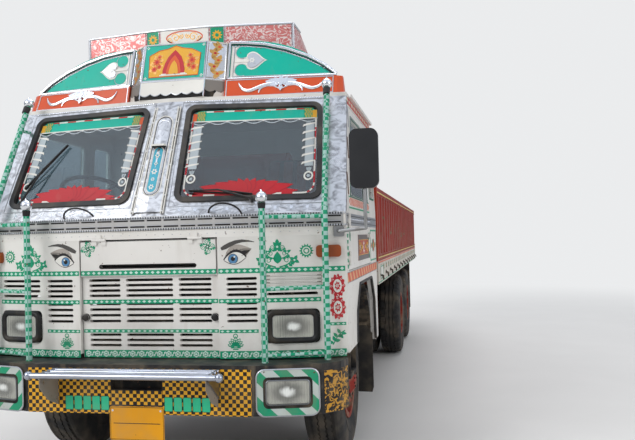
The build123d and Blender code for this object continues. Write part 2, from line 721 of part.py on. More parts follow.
# Back wall with its window
back_window = rect((-520, 520), (1900, 2300))
with BuildPart() as cab_back:
    inner = [(cab_edge(z) - side_wall, z) for z in (floor_z, lean_z, roof_z)]
    upright([(-x, z) for x, z in reversed(inner)] + inner, (cab_rear - back_wall, cab_rear))
    upright(back_window, (cab_rear - 100, cab_rear + 100), mode=Mode.SUBTRACT, radius=50)
save(cab_back, "cab_back")

with BuildPart() as cab_glass:
    upright(bent_wall(side_wall / 2 - glass / 2, glass, quarter_z), (quarter[0], quarter[1]))
    across(rect(quarter, quarter_z), reach, mode=Mode.INTERSECT, radius=40)
    pane_solid(rubber_width, (-15, -15 + glass), pane_corner_r)
    mirror(about=Plane.YZ)
    upright(back_window, (cab_rear - back_wall / 2, cab_rear - back_wall / 2 + glass), radius=50)
save(cab_glass, "cab_glass")

# Floor, bulkhead and engine cover
hump_half = 345.0
hump_z = 1560.0
hump_y = (nose + 240, nose + 1460)
bulkhead = (nose + 215, nose + 240)
with BuildPart() as cab_floor:
    block((-inner_half, inner_half), (bulkhead[0], cab_rear - back_wall), (floor_z, floor_z + floor_plate))
    block((-inner_half, inner_half), bulkhead, (floor_z, waist_z))
    block((-hump_half, hump_half), (bulkhead[0], hump_y[1]), (floor_z, hump_z))
    block((-hump_half + 20, hump_half - 20), (bulkhead[0] - 10, hump_y[1] - 20), (floor_z - 10, hump_z - 20),
          mode=Mode.SUBTRACT)
save(cab_floor, "cab_floor")

with BuildPart() as cab_roof:
    front = [(x, surround_y(x, roof_z)) for x in (-cab_top_half, 0, cab_top_half)]
    flat(front + [(cab_top_half, cab_rear), (-cab_top_half, cab_rear)], (roof_z, roof_z + roof_plate))
    for side in (-1, 1):
        gutter = [(side * (cab_top_half - 5), roof_z), (side * (cab_top_half + 24), roof_z),
                  (side * (cab_top_half + 24), roof_z + 22), (side * (cab_top_half + 18), roof_z + 22),
                  (side * (cab_top_half + 18), roof_z + 6), (side * (cab_top_half - 5), roof_z + 6)]
        upright(gutter, (nose + 640, cab_rear))
save(cab_roof, "cab_roof")

# Dashboard against the front wall, and its steering column
driver_x = -640.0
wheel_centre = Vector(driver_x, nose + 590, 1900)
column_dir = Vector(0, -0.55, -1).normalized()
with BuildPart() as dashboard:
    xs = [-inner_half, -hatch_half, hatch_half, inner_half]
    front = [(x, front_y(cab_half) + front_wall + 4 if abs(x) > hatch_half else nose + front_wall + 20) for x in xs]
    flat(front + [(inner_half, nose + 430), (-inner_half, nose + 430)], (waist_z, sill_z - ledge_plate))
    start = wheel_centre + column_dir * 30
    end = wheel_centre + column_dir * 330
    rod(tuple(start), tuple(end), 26)
save(dashboard, "dashboard")

with BuildPart() as steering_wheel:
    wheel_plane = Plane(origin=wheel_centre, x_dir=(1, 0, 0), z_dir=-column_dir)
    with BuildSketch(Plane(origin=wheel_centre, x_dir=(1, 0, 0), z_dir=(0, -column_dir.Z, column_dir.Y))) as ring:
        with Locations((240, 0)):
            Circle(14)
    revolve(ring.sketch, axis=Axis(tuple(wheel_centre), tuple(-column_dir)))
    for angle in (90, 210, 330):
        arm = wheel_plane.from_local_coords((232 * cos(radians(angle)), 232 * sin(radians(angle)), 0))
        rod(tuple(wheel_centre), tuple(arm), 9)
    rod(tuple(wheel_centre + column_dir * 29.7), tuple(wheel_centre - column_dir * 12), 40)
save(steering_wheel, "steering_wheel")

# Seats: the driver's on the right and a wider one on the left
with BuildPart() as seats:
    for x in ((-900, -380), (380, inner_half - 56)):
        block(x, (nose + 960, nose + 1400), (floor_z + floor_plate, 1600))
        across([(nose + 920, 1600), (nose + 1440, 1600), (nose + 1440, 1700), (nose + 1340, 1720),
                (nose + 940, 1725)], x)
        across([(nose + 1330, 1640), (nose + 1440, 1640), (nose + 1560, 2200), (nose + 1480, 2210)], x)
save(seats, "seats")

# Visor, crown and roof box above the windscreens
crown_base = roof_z + roof_plate
visor_top = 2655.0
crown_back = nose + 700
visor_half = cab_top_half - 22
with BuildPart() as visor_panels:
    low = [(350, nose + 510), (visor_half - 40, nose + 570), (visor_half, nose + 610), (visor_half, crown_back),
           (350, crown_back)]
    top = [(350, nose + 546), (visor_half - 45, nose + 637), (visor_half - 13, nose + 660),
           (visor_half - 13, crown_back), (350, crown_back)]
    ruled(low, crown_base, top, visor_top)
    mirror(about=Plane.YZ)
save(visor_panels, "visor_panels")

crown_low = Vector(354, nose + 574, visor_top)
crown_tip = Vector(visor_half - 53, nose + 655, visor_top)
crown_top = Vector(347, nose + 665, 2940)
with BuildPart() as crown_panels:
    crown_x = crown_tip - crown_low
    crown_plane = Plane(origin=crown_low, x_dir=crown_x, z_dir=crown_x.cross(crown_top - crown_low))
    tip, top = (crown_plane.to_local_coords(p) for p in (crown_tip, crown_top))
    with BuildSketch(crown_plane) as gable:
        with BuildLine():
            Line((0, 0), (tip.X, 0))
            Line((tip.X, 0), (tip.X, 16))
            ThreePointArc((tip.X, 16), (tip.X * 0.62, top.Y * 0.78), (top.X, top.Y))
            Line((top.X, top.Y), (0, 0))
        make_face()
    extrude(amount=-28)
    block((0, cab_half), (nose, nose + 1000), (visor_top - 50, visor_top), mode=Mode.SUBTRACT)
    mirror(about=Plane.YZ)
save(crown_panels, "crown_panels")

with BuildPart() as crown_box:
    low = [(-228, nose + 432), (228, nose + 432), (350, nose + 532), (350, crown_back), (-350, crown_back),
           (-350, nose + 532)]
    top = [(-228, nose + 562), (228, nose + 562), (341, nose + 663), (341, crown_back), (-341, crown_back),
           (-341, nose + 663)]
    ruled(low, crown_base, top, 2940)
save(crown_box, "crown_box")

box_wall = 25.0
box_half = 780.0
with BuildPart() as roof_box:
    rim = [(-box_half, nose + 790), (-188, nose + 712), (188, nose + 712), (box_half, nose + 790),
           (box_half, cab_rear - 30), (-box_half, cab_rear - 30)]
    inner = [(-box_half + box_wall, nose + 815), (-188, nose + 737), (188, nose + 737),
             (box_half - box_wall, nose + 815), (box_half - box_wall, cab_rear - 55),
             (-box_half + box_wall, cab_rear - 55)]
    flat(rim, (crown_base, 3085))
    flat(inner, (crown_base + box_wall, 3200), mode=Mode.SUBTRACT)
    across([(nose + 1000, 3090), (cab_rear, 2840), (cab_rear, 3200), (nose + 1000, 3200)],
           (-box_half - 50, box_half + 50), mode=Mode.SUBTRACT)
save(roof_box, "roof_box")

# Guard poles with balls, cross bars and ties to the cab
pole_r = 19.0
tie_r = 11.0
pole_a = (757.0, nose - 84)
pole_b = (cab_half - 111, nose + 46)
pole_b_top = (cab_top_half - 110, nose + 453, 2560.0)
with BuildPart() as guard_poles:
    rod((*pole_a, bumper_z[1]), (*pole_a, 1790), pole_r)
    rod((*pole_b, bumper_z[1]), (*pole_b, 1705), pole_r)
    ball((*pole_b, 1705), pole_r)
    rod((*pole_b, 1705), pole_b_top, pole_r)
    ball((*pole_a, 1805), 33)
    ball(pole_b_top, 33)
    for z in (880, 1270, 1690):
        rod((*pole_a, z), (*pole_b, z), 13)
        end = corner_y(pole_b[0]) - tie_r * corner_slope - clearance - (strip_proud if z > waist_strip[0] else 0)
        rod((*pole_b, z), (pole_b[0], end, z), tie_r)
    tie = Vector(*pole_b, 1705) + (Vector(*pole_b_top) - Vector(*pole_b, 1705)) * 0.76
    rod(tuple(tie), (tie.X, surround_y(tie.X, tie.Z - tie_r) - tie_r * corner_slope - clearance, tie.Z), tie_r)
    mirror(about=Plane.YZ)
save(guard_poles, "guard_poles")

# Mirrors on bent arms at the front corners
mirror_x = (cab_half + 46, cab_half + 216)
mirror_mid = sum(mirror_x) / 2
mirror_z = (1845.0, 2195.0)
with BuildPart() as mirrors:
    upright(rect(mirror_x, mirror_z), (nose + 40, nose + 80), radius=45)
    foot = corner_plane(cab_half - 40, 1597)
    lamp_box(foot, 64, 64, (0, 10), 10)
    stem = foot.origin + foot.z_dir * 60
    elbow = (mirror_mid, nose + 60, 1612)
    rod(tuple(foot.origin + foot.z_dir * 5), tuple(stem), 11)
    ball(tuple(stem), 11)
    rod(tuple(stem), elbow, 11)
    ball(elbow, 11)
    rod(elbow, (mirror_mid, nose + 60, mirror_z[0] + 10), 11)
    mirror(about=Plane.YZ)
save(mirrors, "mirrors")

# Mudguards over the front wheels, flaps behind the rear wheels, and steps
guard_r = floor_z - tyre_r
flap_y = rear_axle_ys[1] + 700
with BuildPart() as mudguards:
    with BuildSketch(Plane.YZ.offset(760)) as section:
        with Locations((front_axle_y, tyre_r)):
            Circle(guard_r)
            Circle(guard_r - 8, mode=Mode.SUBTRACT)
            with Locations((0, -guard_r + 300)):
                Rectangle(3 * guard_r, 2 * guard_r, mode=Mode.SUBTRACT)
    extrude(amount=inner_half - 760)
    block((600, body_half - 45), (flap_y, flap_y + 8), (380, bearer_z[1]))
    mirror(about=Plane.YZ)
save(mudguards, "mudguards")

with BuildPart() as cab_steps:
    block((cab_half - 206, cab_half - 4), (nose + 225, nose + 485), (690, 715))
    for y in (nose + 225, nose + 475):
        block((inner_half, cab_half - 4), (y, y + 10), (700, side_bottom))
    mirror(about=Plane.YZ)
save(cab_steps, "cab_steps")

# Load bed: bearers across the runners, and the plate on them
gate_axis = Vector(0, body_rear + barrel_r, bed_top + door_gap / 2)
gate_y = (body_rear - 30, body_rear)
with BuildPart() as bed_bearers:
    for k in range(12):
        y = body_front + 60 + (body_rear - body_front - 180) * k / 11
        block((-body_half + 30, body_half - 30), (y, y + 60), bearer_z)
save(bed_bearers, "bed_bearers")

with BuildPart() as cargo_floor:
    block((-body_half + 30, body_half - 30), (body_front + headboard_depth, body_rear), (bed_top - bed_plate, bed_top))
    block((-body_half + 30, body_half - 30), (gate_y[0] - door_gap, body_rear + 1), (bed_top - 3, bed_top + 1),
          mode=Mode.SUBTRACT)
    hinge(gate_axis, x_way, -z_way, -y_way, gate_hinges, moving=False)
save(cargo_floor, "cargo_floor")

# Sides: a board along the bed's edge, and upright corrugations between two rails on it
rib_pitch = 270.0
side_y = (body_front + headboard_depth, body_rear - 36)
rib_count = int((side_y[1] - side_y[0]) // rib_pitch)
for side, name in ((1, "left"), (-1, "right")):
    with BuildPart() as cargo_side:
        face_x, deep_x = body_half, body_half - 22
        wave = []
        for k in range(rib_count):
            y = side_y[0] + (side_y[1] - side_y[0] - rib_count * rib_pitch) / 2 + k * rib_pitch
            wave += [(deep_x, y + 40), (face_x, y + 80), (face_x, y + 190), (deep_x, y + 230)]
        ends = [(deep_x, side_y[0])] + wave + [(deep_x, side_y[1])]
        flat(ends + [(x - 8, y) for x, y in reversed(ends)], (board_top, side_top))
        block((body_half - 30, body_half), side_y, (side_top - 70, side_top))
        block((body_half - 30, body_half), side_y, (board_top, board_top + 60))
        block((body_half - 30, body_half), (body_front, body_rear), (bearer_z[0], board_top))
        if side < 0:
            mirror(about=Plane.YZ, mode=Mode.REPLACE)
    save(cargo_side, f"cargo_side_{name}")

with BuildPart() as headboard:
    sheet_y = (body_front + headboard_depth - 25, body_front + headboard_depth)
    block((-body_half, body_half), sheet_y, (board_top, headboard_top))
    block((-body_half + 30, body_half - 30), sheet_y, (bed_top - bed_plate, board_top))
    for x in (-body_half, -420, 360, body_half - 60):
        block((x, x + 60), (body_front, body_front + headboard_depth), (board_top, headboard_top))
    block((-body_half, body_half), (body_front, body_front + headboard_depth), (headboard_top - 60, headboard_top))
save(headboard, "headboard")

with BuildPart() as tailgate:
    half = body_half - 30 - door_gap
    block((-half, half), (gate_y[0], gate_y[0] + 8), (bed_top + door_gap, side_top - 10))
    for x in (-half, -410, 350, half - 60):
        block((x, x + 60), gate_y, (bed_top + door_gap, side_top - 10))
    for z in (bed_top + door_gap, 1580, side_top - 70):
        block((-half, half), gate_y, (z, z + 60))
    hinge(gate_axis, x_way, z_way, -y_way, gate_hinges, moving=True)
save(tailgate, "tailgate")

# Tail lamps on plates over the rear bumper, and amber lamps at the front corners
lamp_plate_y = (tail - 60, tail - 48)
with BuildPart() as signal_lamps:
    block((820, 980), (lamp_plate_y[1], lamp_plate_y[1] + 40), (850, 960))
    lamp_box(corner_plane(cab_half - 104, 1481), 150, 72, (0, 26), 20)
    mirror(about=Plane.YZ)
save(signal_lamps, "signal_lamps")

with BuildPart() as rear_bumper:
    block((-1100, 1100), (tail - 60, tail), (560, 680))
    for side in (-1, 1):
        block(sorted((side * (rail_out - rail_flange), side * rail_out)), (rail_rear, tail - 60), (560, 1000))
        block(sorted((side * 800, side * 1000)), lamp_plate_y, (650, bed_top - bed_plate))
save(rear_bumper, "rear_bumper")
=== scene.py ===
# %% [markdown]
# # A decorated cargo truck
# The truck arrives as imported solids, each on the body that moves it. This lesson dresses them:
# paint, glass and rubber first, then cut sheet metal, tape and beading, as the truck painter
# does it, and last the light and the floor.

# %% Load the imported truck
import json
import math

import bmesh
import bpy
from mathutils import Matrix, Vector


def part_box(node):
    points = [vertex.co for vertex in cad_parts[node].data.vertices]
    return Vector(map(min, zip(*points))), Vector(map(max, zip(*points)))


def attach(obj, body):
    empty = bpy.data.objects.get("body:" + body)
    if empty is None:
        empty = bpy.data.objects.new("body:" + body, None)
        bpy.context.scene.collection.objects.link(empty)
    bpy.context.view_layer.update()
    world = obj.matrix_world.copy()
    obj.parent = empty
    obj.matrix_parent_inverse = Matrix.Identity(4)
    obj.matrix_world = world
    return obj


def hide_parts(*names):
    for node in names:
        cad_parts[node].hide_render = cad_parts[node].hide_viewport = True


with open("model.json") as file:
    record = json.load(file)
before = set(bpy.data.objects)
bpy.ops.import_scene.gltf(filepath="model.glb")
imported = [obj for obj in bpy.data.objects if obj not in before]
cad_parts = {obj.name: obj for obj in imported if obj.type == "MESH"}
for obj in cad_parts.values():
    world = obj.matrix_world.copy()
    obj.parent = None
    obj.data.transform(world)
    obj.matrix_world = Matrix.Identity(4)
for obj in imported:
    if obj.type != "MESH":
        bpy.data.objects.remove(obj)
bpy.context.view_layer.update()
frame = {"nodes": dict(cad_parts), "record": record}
nodes = frame["nodes"]
subparts = {row["node"]: row["material_slot"] for row in frame["record"]["subparts"]}

# %% [markdown]
# ## Camera
# The photograph was taken from about head height in front of the left headlamp. The camera's
# place, turn and focal length were fitted beforehand to corners that lie symmetrically on the
# truck, so here they are only written down. A small shift frames the picture as the photograph is.

# %% Camera at the photograph's viewpoint
eye = Vector((1.8251, -8.0919, 1.5659))
yaw, pitch, roll = 0.1865, 0.0108, -0.0252
ahead = Vector((-math.sin(yaw) * math.cos(pitch), math.cos(yaw) * math.cos(pitch), math.sin(pitch)))
level_right = Vector((math.cos(yaw), math.sin(yaw), 0))
right = math.cos(roll) * level_right + math.sin(roll) * level_right.cross(ahead)
upward = right.cross(ahead)
camera = bpy.data.objects.new("camera", bpy.data.cameras.new("camera"))
camera.matrix_world = Matrix((
    (right.x, upward.x, -ahead.x, eye.x), (right.y, upward.y, -ahead.y, eye.y),
    (right.z, upward.z, -ahead.z, eye.z), (0, 0, 0, 1)))
camera.data.sensor_width = 36
camera.data.lens = 39.33
camera.data.shift_x = -0.0005
camera.data.shift_y = 0.0148
camera.data.clip_end = 400
bpy.context.scene.collection.objects.link(camera)
bpy.context.scene.camera = camera
bpy.context.scene.view_settings.view_transform = "Standard"
print("camera", [round(v, 2) for v in eye], "lens", camera.data.lens)

# %% [markdown]
# ## A small language for finishes
# A node material is hard to read as a list of links. `Value` wraps one socket, so that sums on
# values write their own Math nodes, and `Finish.node` makes any other node. Colours never go
# through Math nodes, which would turn them grey: `Finish.mix` blends them. The same `add_node`
# also serves the tree that repeats rivets and the world's tree further down.


# %% Values and finishes
def tone(red, green, blue):
    """A colour as it looks on a screen, 0 to 255, for a shader's socket."""
    def straighten(level):
        level /= 255
        return level / 12.92 if level <= 0.04045 else ((level + 0.055) / 1.055) ** 2.4
    return (straighten(red), straighten(green), straighten(blue), 1)


def add_node(tree, kind, settings=None, sockets=None):
    """A new node in any tree: first its settings, then a value or a link for each socket."""
    made = tree.nodes.new(kind)
    for name, value in (settings or {}).items():
        setattr(made, name, value)
    for name, value in (sockets or {}).items():
        if isinstance(value, bpy.types.NodeSocket):
            tree.links.new(value, made.inputs[name])
        else:
            made.inputs[name].default_value = value
    return made


def linked(name, data):
    """A new object round some data, linked to the scene."""
    made = bpy.data.objects.new(name, data)
    bpy.context.scene.collection.objects.link(made)
    return made


def math_node(operation, reflected=False):
    """What an operator such as + does between a value and another value or a number."""
    def apply(self, other):
        return self.finish.maths(operation, *((other, self) if reflected else (self, other)))
    return apply


class Value:
    """A number that varies over a surface. Its operators add Math nodes."""

    def __init__(self, finish, socket):
        self.finish, self.socket = finish, socket

    def maths(self, operation, *others):
        return self.finish.maths(operation, self, *others)

    def __abs__(self):
        return self.maths("ABSOLUTE")

    __add__, __radd__ = math_node("ADD"), math_node("ADD", reflected=True)
    __sub__, __rsub__ = math_node("SUBTRACT"), math_node("SUBTRACT", reflected=True)
    __mul__, __rmul__ = math_node("MULTIPLY"), math_node("MULTIPLY", reflected=True)
    __truediv__, __rtruediv__ = math_node("DIVIDE"), math_node("DIVIDE", reflected=True)
    __gt__, __lt__, __mod__ = math_node("GREATER_THAN"), math_node("LESS_THAN"), math_node("FLOORED_MODULO")

    def ramp(self, low, high):
        """0 below low, 1 above high, smooth between."""
        return self.finish.node("ShaderNodeMapRange", {"interpolation_type": "SMOOTHSTEP"},
                                {0: self, 1: low, 2: high})


class Finish:
    """One material of the truck and the nodes that make it."""

    def __init__(self, name, **constants):
        self.name = name
        self.material = bpy.data.materials.new(name)
        self.material.use_nodes = True
        self.tree = self.material.node_tree
        self.shader = self.tree.nodes["Principled BSDF"]
        self.place = self.node("ShaderNodeTexCoord", out="Object")
        self.x, self.y, self.z = (
            self.node("ShaderNodeSeparateXYZ", {}, {0: self.place}, out=k) for k in range(3))
        for socket, value in constants.items():
            self.set(socket.replace("_", " "), value)

    def node(self, kind, settings=None, sockets=None, out=0):
        sources = {name: value.socket if isinstance(value, Value) else value
                   for name, value in (sockets or {}).items()}
        return Value(self, add_node(self.tree, kind, settings, sources).outputs[out])

    def set(self, socket, value):
        if isinstance(value, Value):
            self.tree.links.new(value.socket, self.shader.inputs[socket])
        else:
            self.shader.inputs[socket].default_value = value

    def maths(self, operation, *values):
        return self.node("ShaderNodeMath", {"operation": operation}, dict(enumerate(values)))

    def mix(self, mask, bare, covered):
        return self.node("ShaderNodeMix", {"data_type": "RGBA"}, {0: mask, 6: bare, 7: covered}, out=2)

    def noise(self, scale, detail=3.0, stretch=(1, 1, 1), warp=0.0):
        place = self.node("ShaderNodeMapping", {}, {0: self.place, 3: stretch})
        return self.node("ShaderNodeTexNoise", {},
                         {"Vector": place, "Scale": scale, "Detail": detail, "Distortion": warp})

    def bump(self, height, depth, strength=1.0):
        """Relief of a height from 0 to 1, that many metres deep."""
        self.set("Normal", self.node("ShaderNodeBump", {},
                                     {"Strength": strength, "Distance": depth, "Height": height}))

    def keep(self):
        """Notes the material under the finish's name, for the slots that ask for it."""
        made_finishes[self.name] = self.material
        return self.material


print("finishes are ready to be mixed")

# %% [markdown]
# ## Weathered paint
# A truck of this kind is repainted every year and driven on dusty roads. Its enamel has broad
# uneven patches, thin streaks that run down, dust that is thicker low down, and chips that show
# primer. One function mixes all four over any colour or pattern, so the pieces look alike.

# %% Paint, metal and rubber recipes
dust = tone(150, 134, 112)
primer = tone(96, 66, 48)
made_finishes = {}


def weathered(name, colour, gloss=0.32, dirt=0.35, chips=0.25, dent=0.004, low=0.9, **constants):
    """Brushed enamel. colour is one colour, or a function of the finish that gives a pattern."""
    finish = Finish(name, **{"IOR": 1.36, **constants})
    base = colour(finish) if callable(colour) else colour
    patches = finish.noise(1.7, 4.0)
    streaks = finish.noise(5.0, 3.0, (3, 3, 0.35))
    fine = finish.noise(38.0, 4.0)
    shade = finish.mix(patches.ramp(0.35, 0.72) * 0.16, base, tone(70, 66, 60))
    shade = finish.mix(streaks.ramp(0.58, 0.8) * dirt * 0.6, shade, dust)
    lower = (1 - finish.z.ramp(low - 0.5, low + 0.6)) * 0.75 + 0.12
    shade = finish.mix(finish.noise(9.0, 5.0).ramp(0.4, 0.75) * lower * dirt, shade, dust)
    chipped = fine.ramp(0.705 - 0.06 * chips, 0.73) * (0.9 if chips else 0.0)
    shade = finish.mix(chipped, shade, primer)
    finish.set("Base Color", shade)
    finish.set("Roughness", gloss + patches * 0.14 + chipped * 0.4 + lower * dirt * 0.35)
    finish.bump(finish.noise(2.6, 2.0) + fine * 0.04 - chipped * 0.06, dent)
    return finish.keep()


def metal(name, colour, gloss=0.16, wear=0.3, grain=(1, 1, 1), dent=0.003, scale=30.0):
    """Bright metal with fingerprints, fine scratches and a little haze."""
    finish = Finish(name, Metallic=1.0)
    haze = finish.noise(3.0, 4.0)
    scratch = finish.noise(scale, 3.0, grain)
    shade = finish.mix(haze.ramp(0.45, 0.8) * wear, colour, tone(120, 112, 102))
    finish.set("Base Color", finish.mix(scratch.ramp(0.6, 0.8) * wear, shade, tone(92, 84, 76)))
    finish.set("Roughness", gloss + haze * 0.16 + scratch * 0.12)
    finish.bump(scratch * 0.3 + finish.noise(4.0, 2.0), dent)
    return finish.keep()


def rubbery(name, colour, gloss=0.75, dirt=0.5):
    """Dull black rubber, dusty where the road throws dirt."""
    finish = Finish(name)
    cloud = finish.noise(6.0, 5.0)
    grain = finish.noise(160.0, 2.0)
    finish.set("Base Color", finish.mix(cloud.ramp(0.38, 0.72) * dirt, colour, tone(120, 108, 92)))
    finish.set("Roughness", gloss + cloud * 0.15)
    finish.bump(grain, 0.0012)
    return finish.keep()


print("recipes: weathered, metal, rubbery")

# %% [markdown]
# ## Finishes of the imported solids
# Each solid names a material slot in its record. One finish is mixed for each slot, and where a
# solid's shape is already right it simply gets that finish. Colours come from the photograph:
# white cab, green tape, orange visor, teal crown, pink roof box and a red load body.

# %% Mix one finish for each slot
white = tone(222, 219, 214)
leaf_green = tone(6, 146, 106)
pale_green = tone(164, 200, 192)
teal = tone(0, 170, 148)
orange = tone(208, 82, 42)
side_red = tone(142, 34, 18)

weathered("cab_white", white, gloss=0.3, dirt=0.3, chips=0.15)
weathered("frame_black", tone(38, 37, 38), gloss=0.5, dirt=0.9, chips=0.6, low=1.2)
weathered("engine_grey", tone(70, 72, 74), gloss=0.55, dirt=0.9, low=1.4)
weathered("spring_steel", tone(52, 48, 46), gloss=0.55, dirt=0.9, chips=0.8, low=1.2)
weathered("axle_grey", tone(48, 48, 50), gloss=0.55, dirt=0.9, chips=0.5, low=1.2)
weathered("tank_grey", tone(84, 86, 88), gloss=0.42, dirt=0.7, chips=0.4, low=1.1)
weathered("exhaust_steel", tone(96, 74, 60), gloss=0.6, dirt=0.7, chips=0.9, low=1.1)
rubbery("tyre_rubber", tone(34, 33, 33))
weathered("rim_paint", tone(150, 44, 34), gloss=0.45, dirt=0.9, chips=0.5, low=1.0)
weathered("bumper_black", tone(30, 30, 33), gloss=0.34, dirt=0.5, chips=0.3, low=0.8)
metal("bright_bar", tone(168, 172, 182), gloss=0.16, wear=0.3)
weathered("lamp_black", tone(22, 22, 24), gloss=0.4, dirt=0.3, chips=0.0, dent=0.001)
rubbery("seal_black", tone(26, 26, 28), gloss=0.55, dirt=0.3)
weathered("trim_brown", tone(92, 62, 46), gloss=0.55, dirt=0.3, chips=0.0, low=0.5)
weathered("visor_orange", orange, gloss=0.26, dirt=0.22, chips=0.2)
weathered("crown_green", teal, gloss=0.24, dirt=0.2, chips=0.2)
weathered("crown_teal", tone(214, 208, 200), gloss=0.3, dirt=0.3, chips=0.2)
weathered("mirror_black", tone(24, 24, 26), gloss=0.35, dirt=0.3, chips=0.0, dent=0.001)
weathered("bed_brown", tone(112, 52, 36), gloss=0.55, dirt=0.8, chips=0.7, low=1.3)
weathered("board_red", tone(176, 62, 40), gloss=0.4, dirt=0.45, chips=0.4, low=1.5)
weathered("side_red", side_red, gloss=0.36, dirt=0.4, chips=0.35, low=1.6)
weathered("lamp_amber", tone(150, 70, 26), gloss=0.18, dirt=0.25, chips=0.0, dent=0.0006)
print(len(made_finishes), "finishes so far")


# %% Patterned finishes: rolled foil, checked tape and glass
def foil_pattern(finish):
    """Pink foil rolled with wavy leaves, worn to bare metal on the crests."""
    wave = finish.noise(11.0, 2.0, (1, 1, 1.6), warp=2.6)
    return finish.mix(abs(wave - 0.5).ramp(0.02, 0.07), tone(232, 214, 210), tone(206, 118, 116))


def pole_tape(finish):
    """Tape wound round a pole in green and silver squares."""
    squares = [(place * 40.0).maths("FLOOR") for place in (finish.x, finish.y, finish.z)]
    return finish.mix(((squares[0] + squares[1] + squares[2]) % 2.0) > 0.5, pale_green, leaf_green)


weathered("box_pink", foil_pattern, gloss=0.3, dirt=0.25, Metallic=0.25)
weathered("pole_green", pole_tape, gloss=0.36, dirt=0.25, chips=0.1, dent=0.0015)


def steel_above_paint(finish):
    """White paint on the lower band; embossed bright sheet round the windscreens."""
    sheet = finish.z > 1.7165
    haze = finish.noise(3.2, 4.0)
    creases = finish.noise(15.0, 2.5, (1, 1, 1.4), warp=1.2)
    chipped = finish.noise(38.0, 4.0).ramp(0.69, 0.73)
    paint = finish.mix(haze.ramp(0.4, 0.75) * 0.2, white, dust)
    paint = finish.mix(chipped * 0.8, paint, primer)
    bright_sheet = finish.mix(creases.ramp(0.38, 0.72), tone(212, 213, 216), tone(146, 146, 148))
    finish.set("Base Color", finish.mix(sheet, paint, bright_sheet))
    finish.set("Metallic", sheet * 0.82)
    finish.set("Roughness", 0.30 + haze * 0.14 - sheet * 0.08)
    finish.bump(creases * sheet * 0.22 + finish.noise(2.6, 2.0), 0.004)


def arm_and_housing(finish):
    """Grey steel arms below the black housings of the mirrors."""
    housing = finish.z > 1.842
    haze = finish.noise(9.0, 3.0)
    arms = finish.mix(haze.ramp(0.45, 0.7), tone(150, 150, 150), tone(108, 102, 96))
    finish.set("Base Color", finish.mix(housing, arms, tone(22, 22, 24)))
    finish.set("Metallic", 0.7 - housing * 0.7)
    finish.set("Roughness", 0.30 + haze * 0.15)
    finish.bump(haze, 0.001)


mirror_finish = Finish("arm_and_housing")
arm_and_housing(mirror_finish)
cladding_finish = Finish("steel_above_paint")
steel_above_paint(cladding_finish)


def clear_glass(name, colour, gloss):
    """Thin glass with wiped dust on it."""
    finish = Finish(name, IOR=1.75, Transmission_Weight=1.0)
    film = finish.noise(2.2, 4.0, (1, 1, 2.5))
    finish.set("Base Color", finish.mix(film.ramp(0.45, 0.8) * 0.35, colour, tone(188, 186, 176)))
    finish.set("Roughness", gloss + film.ramp(0.5, 0.85) * 0.12)
    return finish.keep()


clear_glass("screen_glass", tone(196, 216, 220), 0.01)


def fluted_lens(finish):
    """Ribbed glass with its reflector painted on: a bright heart as a painted highlight, a dark ring as
    painted shade, and a grey rim.
    """
    flutes = finish.maths("SINE", finish.x * 420.0)
    finish.bump(flutes * 0.5 + finish.noise(8.0, 2.0), 0.002)
    cloud = finish.noise(16.0, 3.0, warp=1.2)
    across = abs(finish.x) - 0.900
    up = finish.z - (0.688 + (finish.z > 0.86) * 0.349)
    off = finish.maths("SQRT", across * across + up * up * 2.4) + (cloud - 0.5) * 0.05
    # The bright heart and the dark ring are the painted highlight and the painted shade of the lamp's
    # reflector.
    painted_reflector_glare = finish.mix(off.ramp(0.012, 0.052), tone(236, 238, 234), tone(112, 112, 106))
    finish.set("Base Color", finish.mix(off.ramp(0.050, 0.125), painted_reflector_glare, tone(168, 168, 158)))
    finish.set("Roughness", 0.12 + cloud * 0.12)


lens = Finish("lamp_glass", Metallic=0.45, Coat_Weight=1.0, Coat_Roughness=0.04)
fluted_lens(lens)
lens.keep()
weathered("seat_cloth", tone(96, 52, 46), gloss=0.8, dirt=0.25, chips=0.0, low=0.4)

two_toned = {"cab_front": cladding_finish.material, "mirrors": mirror_finish.material}
for name, node in nodes.items():
    finish = two_toned.get(name, made_finishes[subparts[name]])
    if not node.material_slots:
        node.data.materials.append(finish)
    for place in node.material_slots:
        place.material = finish
print("every packed solid has a procedural finish")

# %% [markdown]
# ## Cut sheet, tape and beads
# The painter's trim is thin: stickers, strips of tape, plates of cut sheet and half-round beads
# that follow whatever they are stuck to. So every surface of the truck is first written down as a
# rule that gives a point from a place across, a height and a lift off the paint. `Trim` then
# closes outlines and lines on such a surface into thin solids, and gathers all that belongs to
# one body into one object. Its faces are turned outwards at the end, each shell for itself.

# %% Surfaces of the cab, in metres
nose = -4.1
sweep = 0.136
hatch_half, cab_half, roof_half = 0.447, 1.216, 1.180
bend_xs = [hatch_half + (cab_half - hatch_half) * k / 4 for k in range(5)]
bends = sorted([-x for x in bend_xs] + bend_xs)


def front_depth(x, z=0.0):
    """The swept front: flat over the hatch, then four straight stretches to the corner."""
    x = min(abs(x), cab_half)
    if x <= hatch_half:
        return nose
    width = (cab_half - hatch_half) / 4
    part = min(3, int((x - hatch_half) / width))
    low, high = (nose + sweep * (k / 4) ** 1.6 for k in (part, part + 1))
    return low + (high - low) * ((x - hatch_half) / width - part)


def screen_depth(x, z):
    """The two leaning halves of the windscreen surround."""
    along = Vector((0.918, 0.117, 0))
    normal = along.cross(Vector((-0.022, 0.349, 0.666)))
    run = normal.x * (abs(x) - 0.150) + normal.z * (z - 1.8)
    return nose + 0.062 - run / normal.y


def crown_depth(x, z):
    """The gable behind the visor."""
    along = Vector((0.751, 0.081, 0))
    normal = along.cross(Vector((-0.007, 0.091, 0.285)))
    run = normal.x * (abs(x) - 0.354) + normal.z * (z - 2.655)
    return nose + 0.574 - run / normal.y


def visor_depth(x, z):
    """The visor, which leans back more at its outer end."""
    share = (z - 2.525) / 0.130
    low = 0.510 + 0.060 * (abs(x) - 0.350) / 0.768
    top = 0.546 + 0.091 * (abs(x) - 0.350) / 0.763
    return nose + low + (top - low) * share


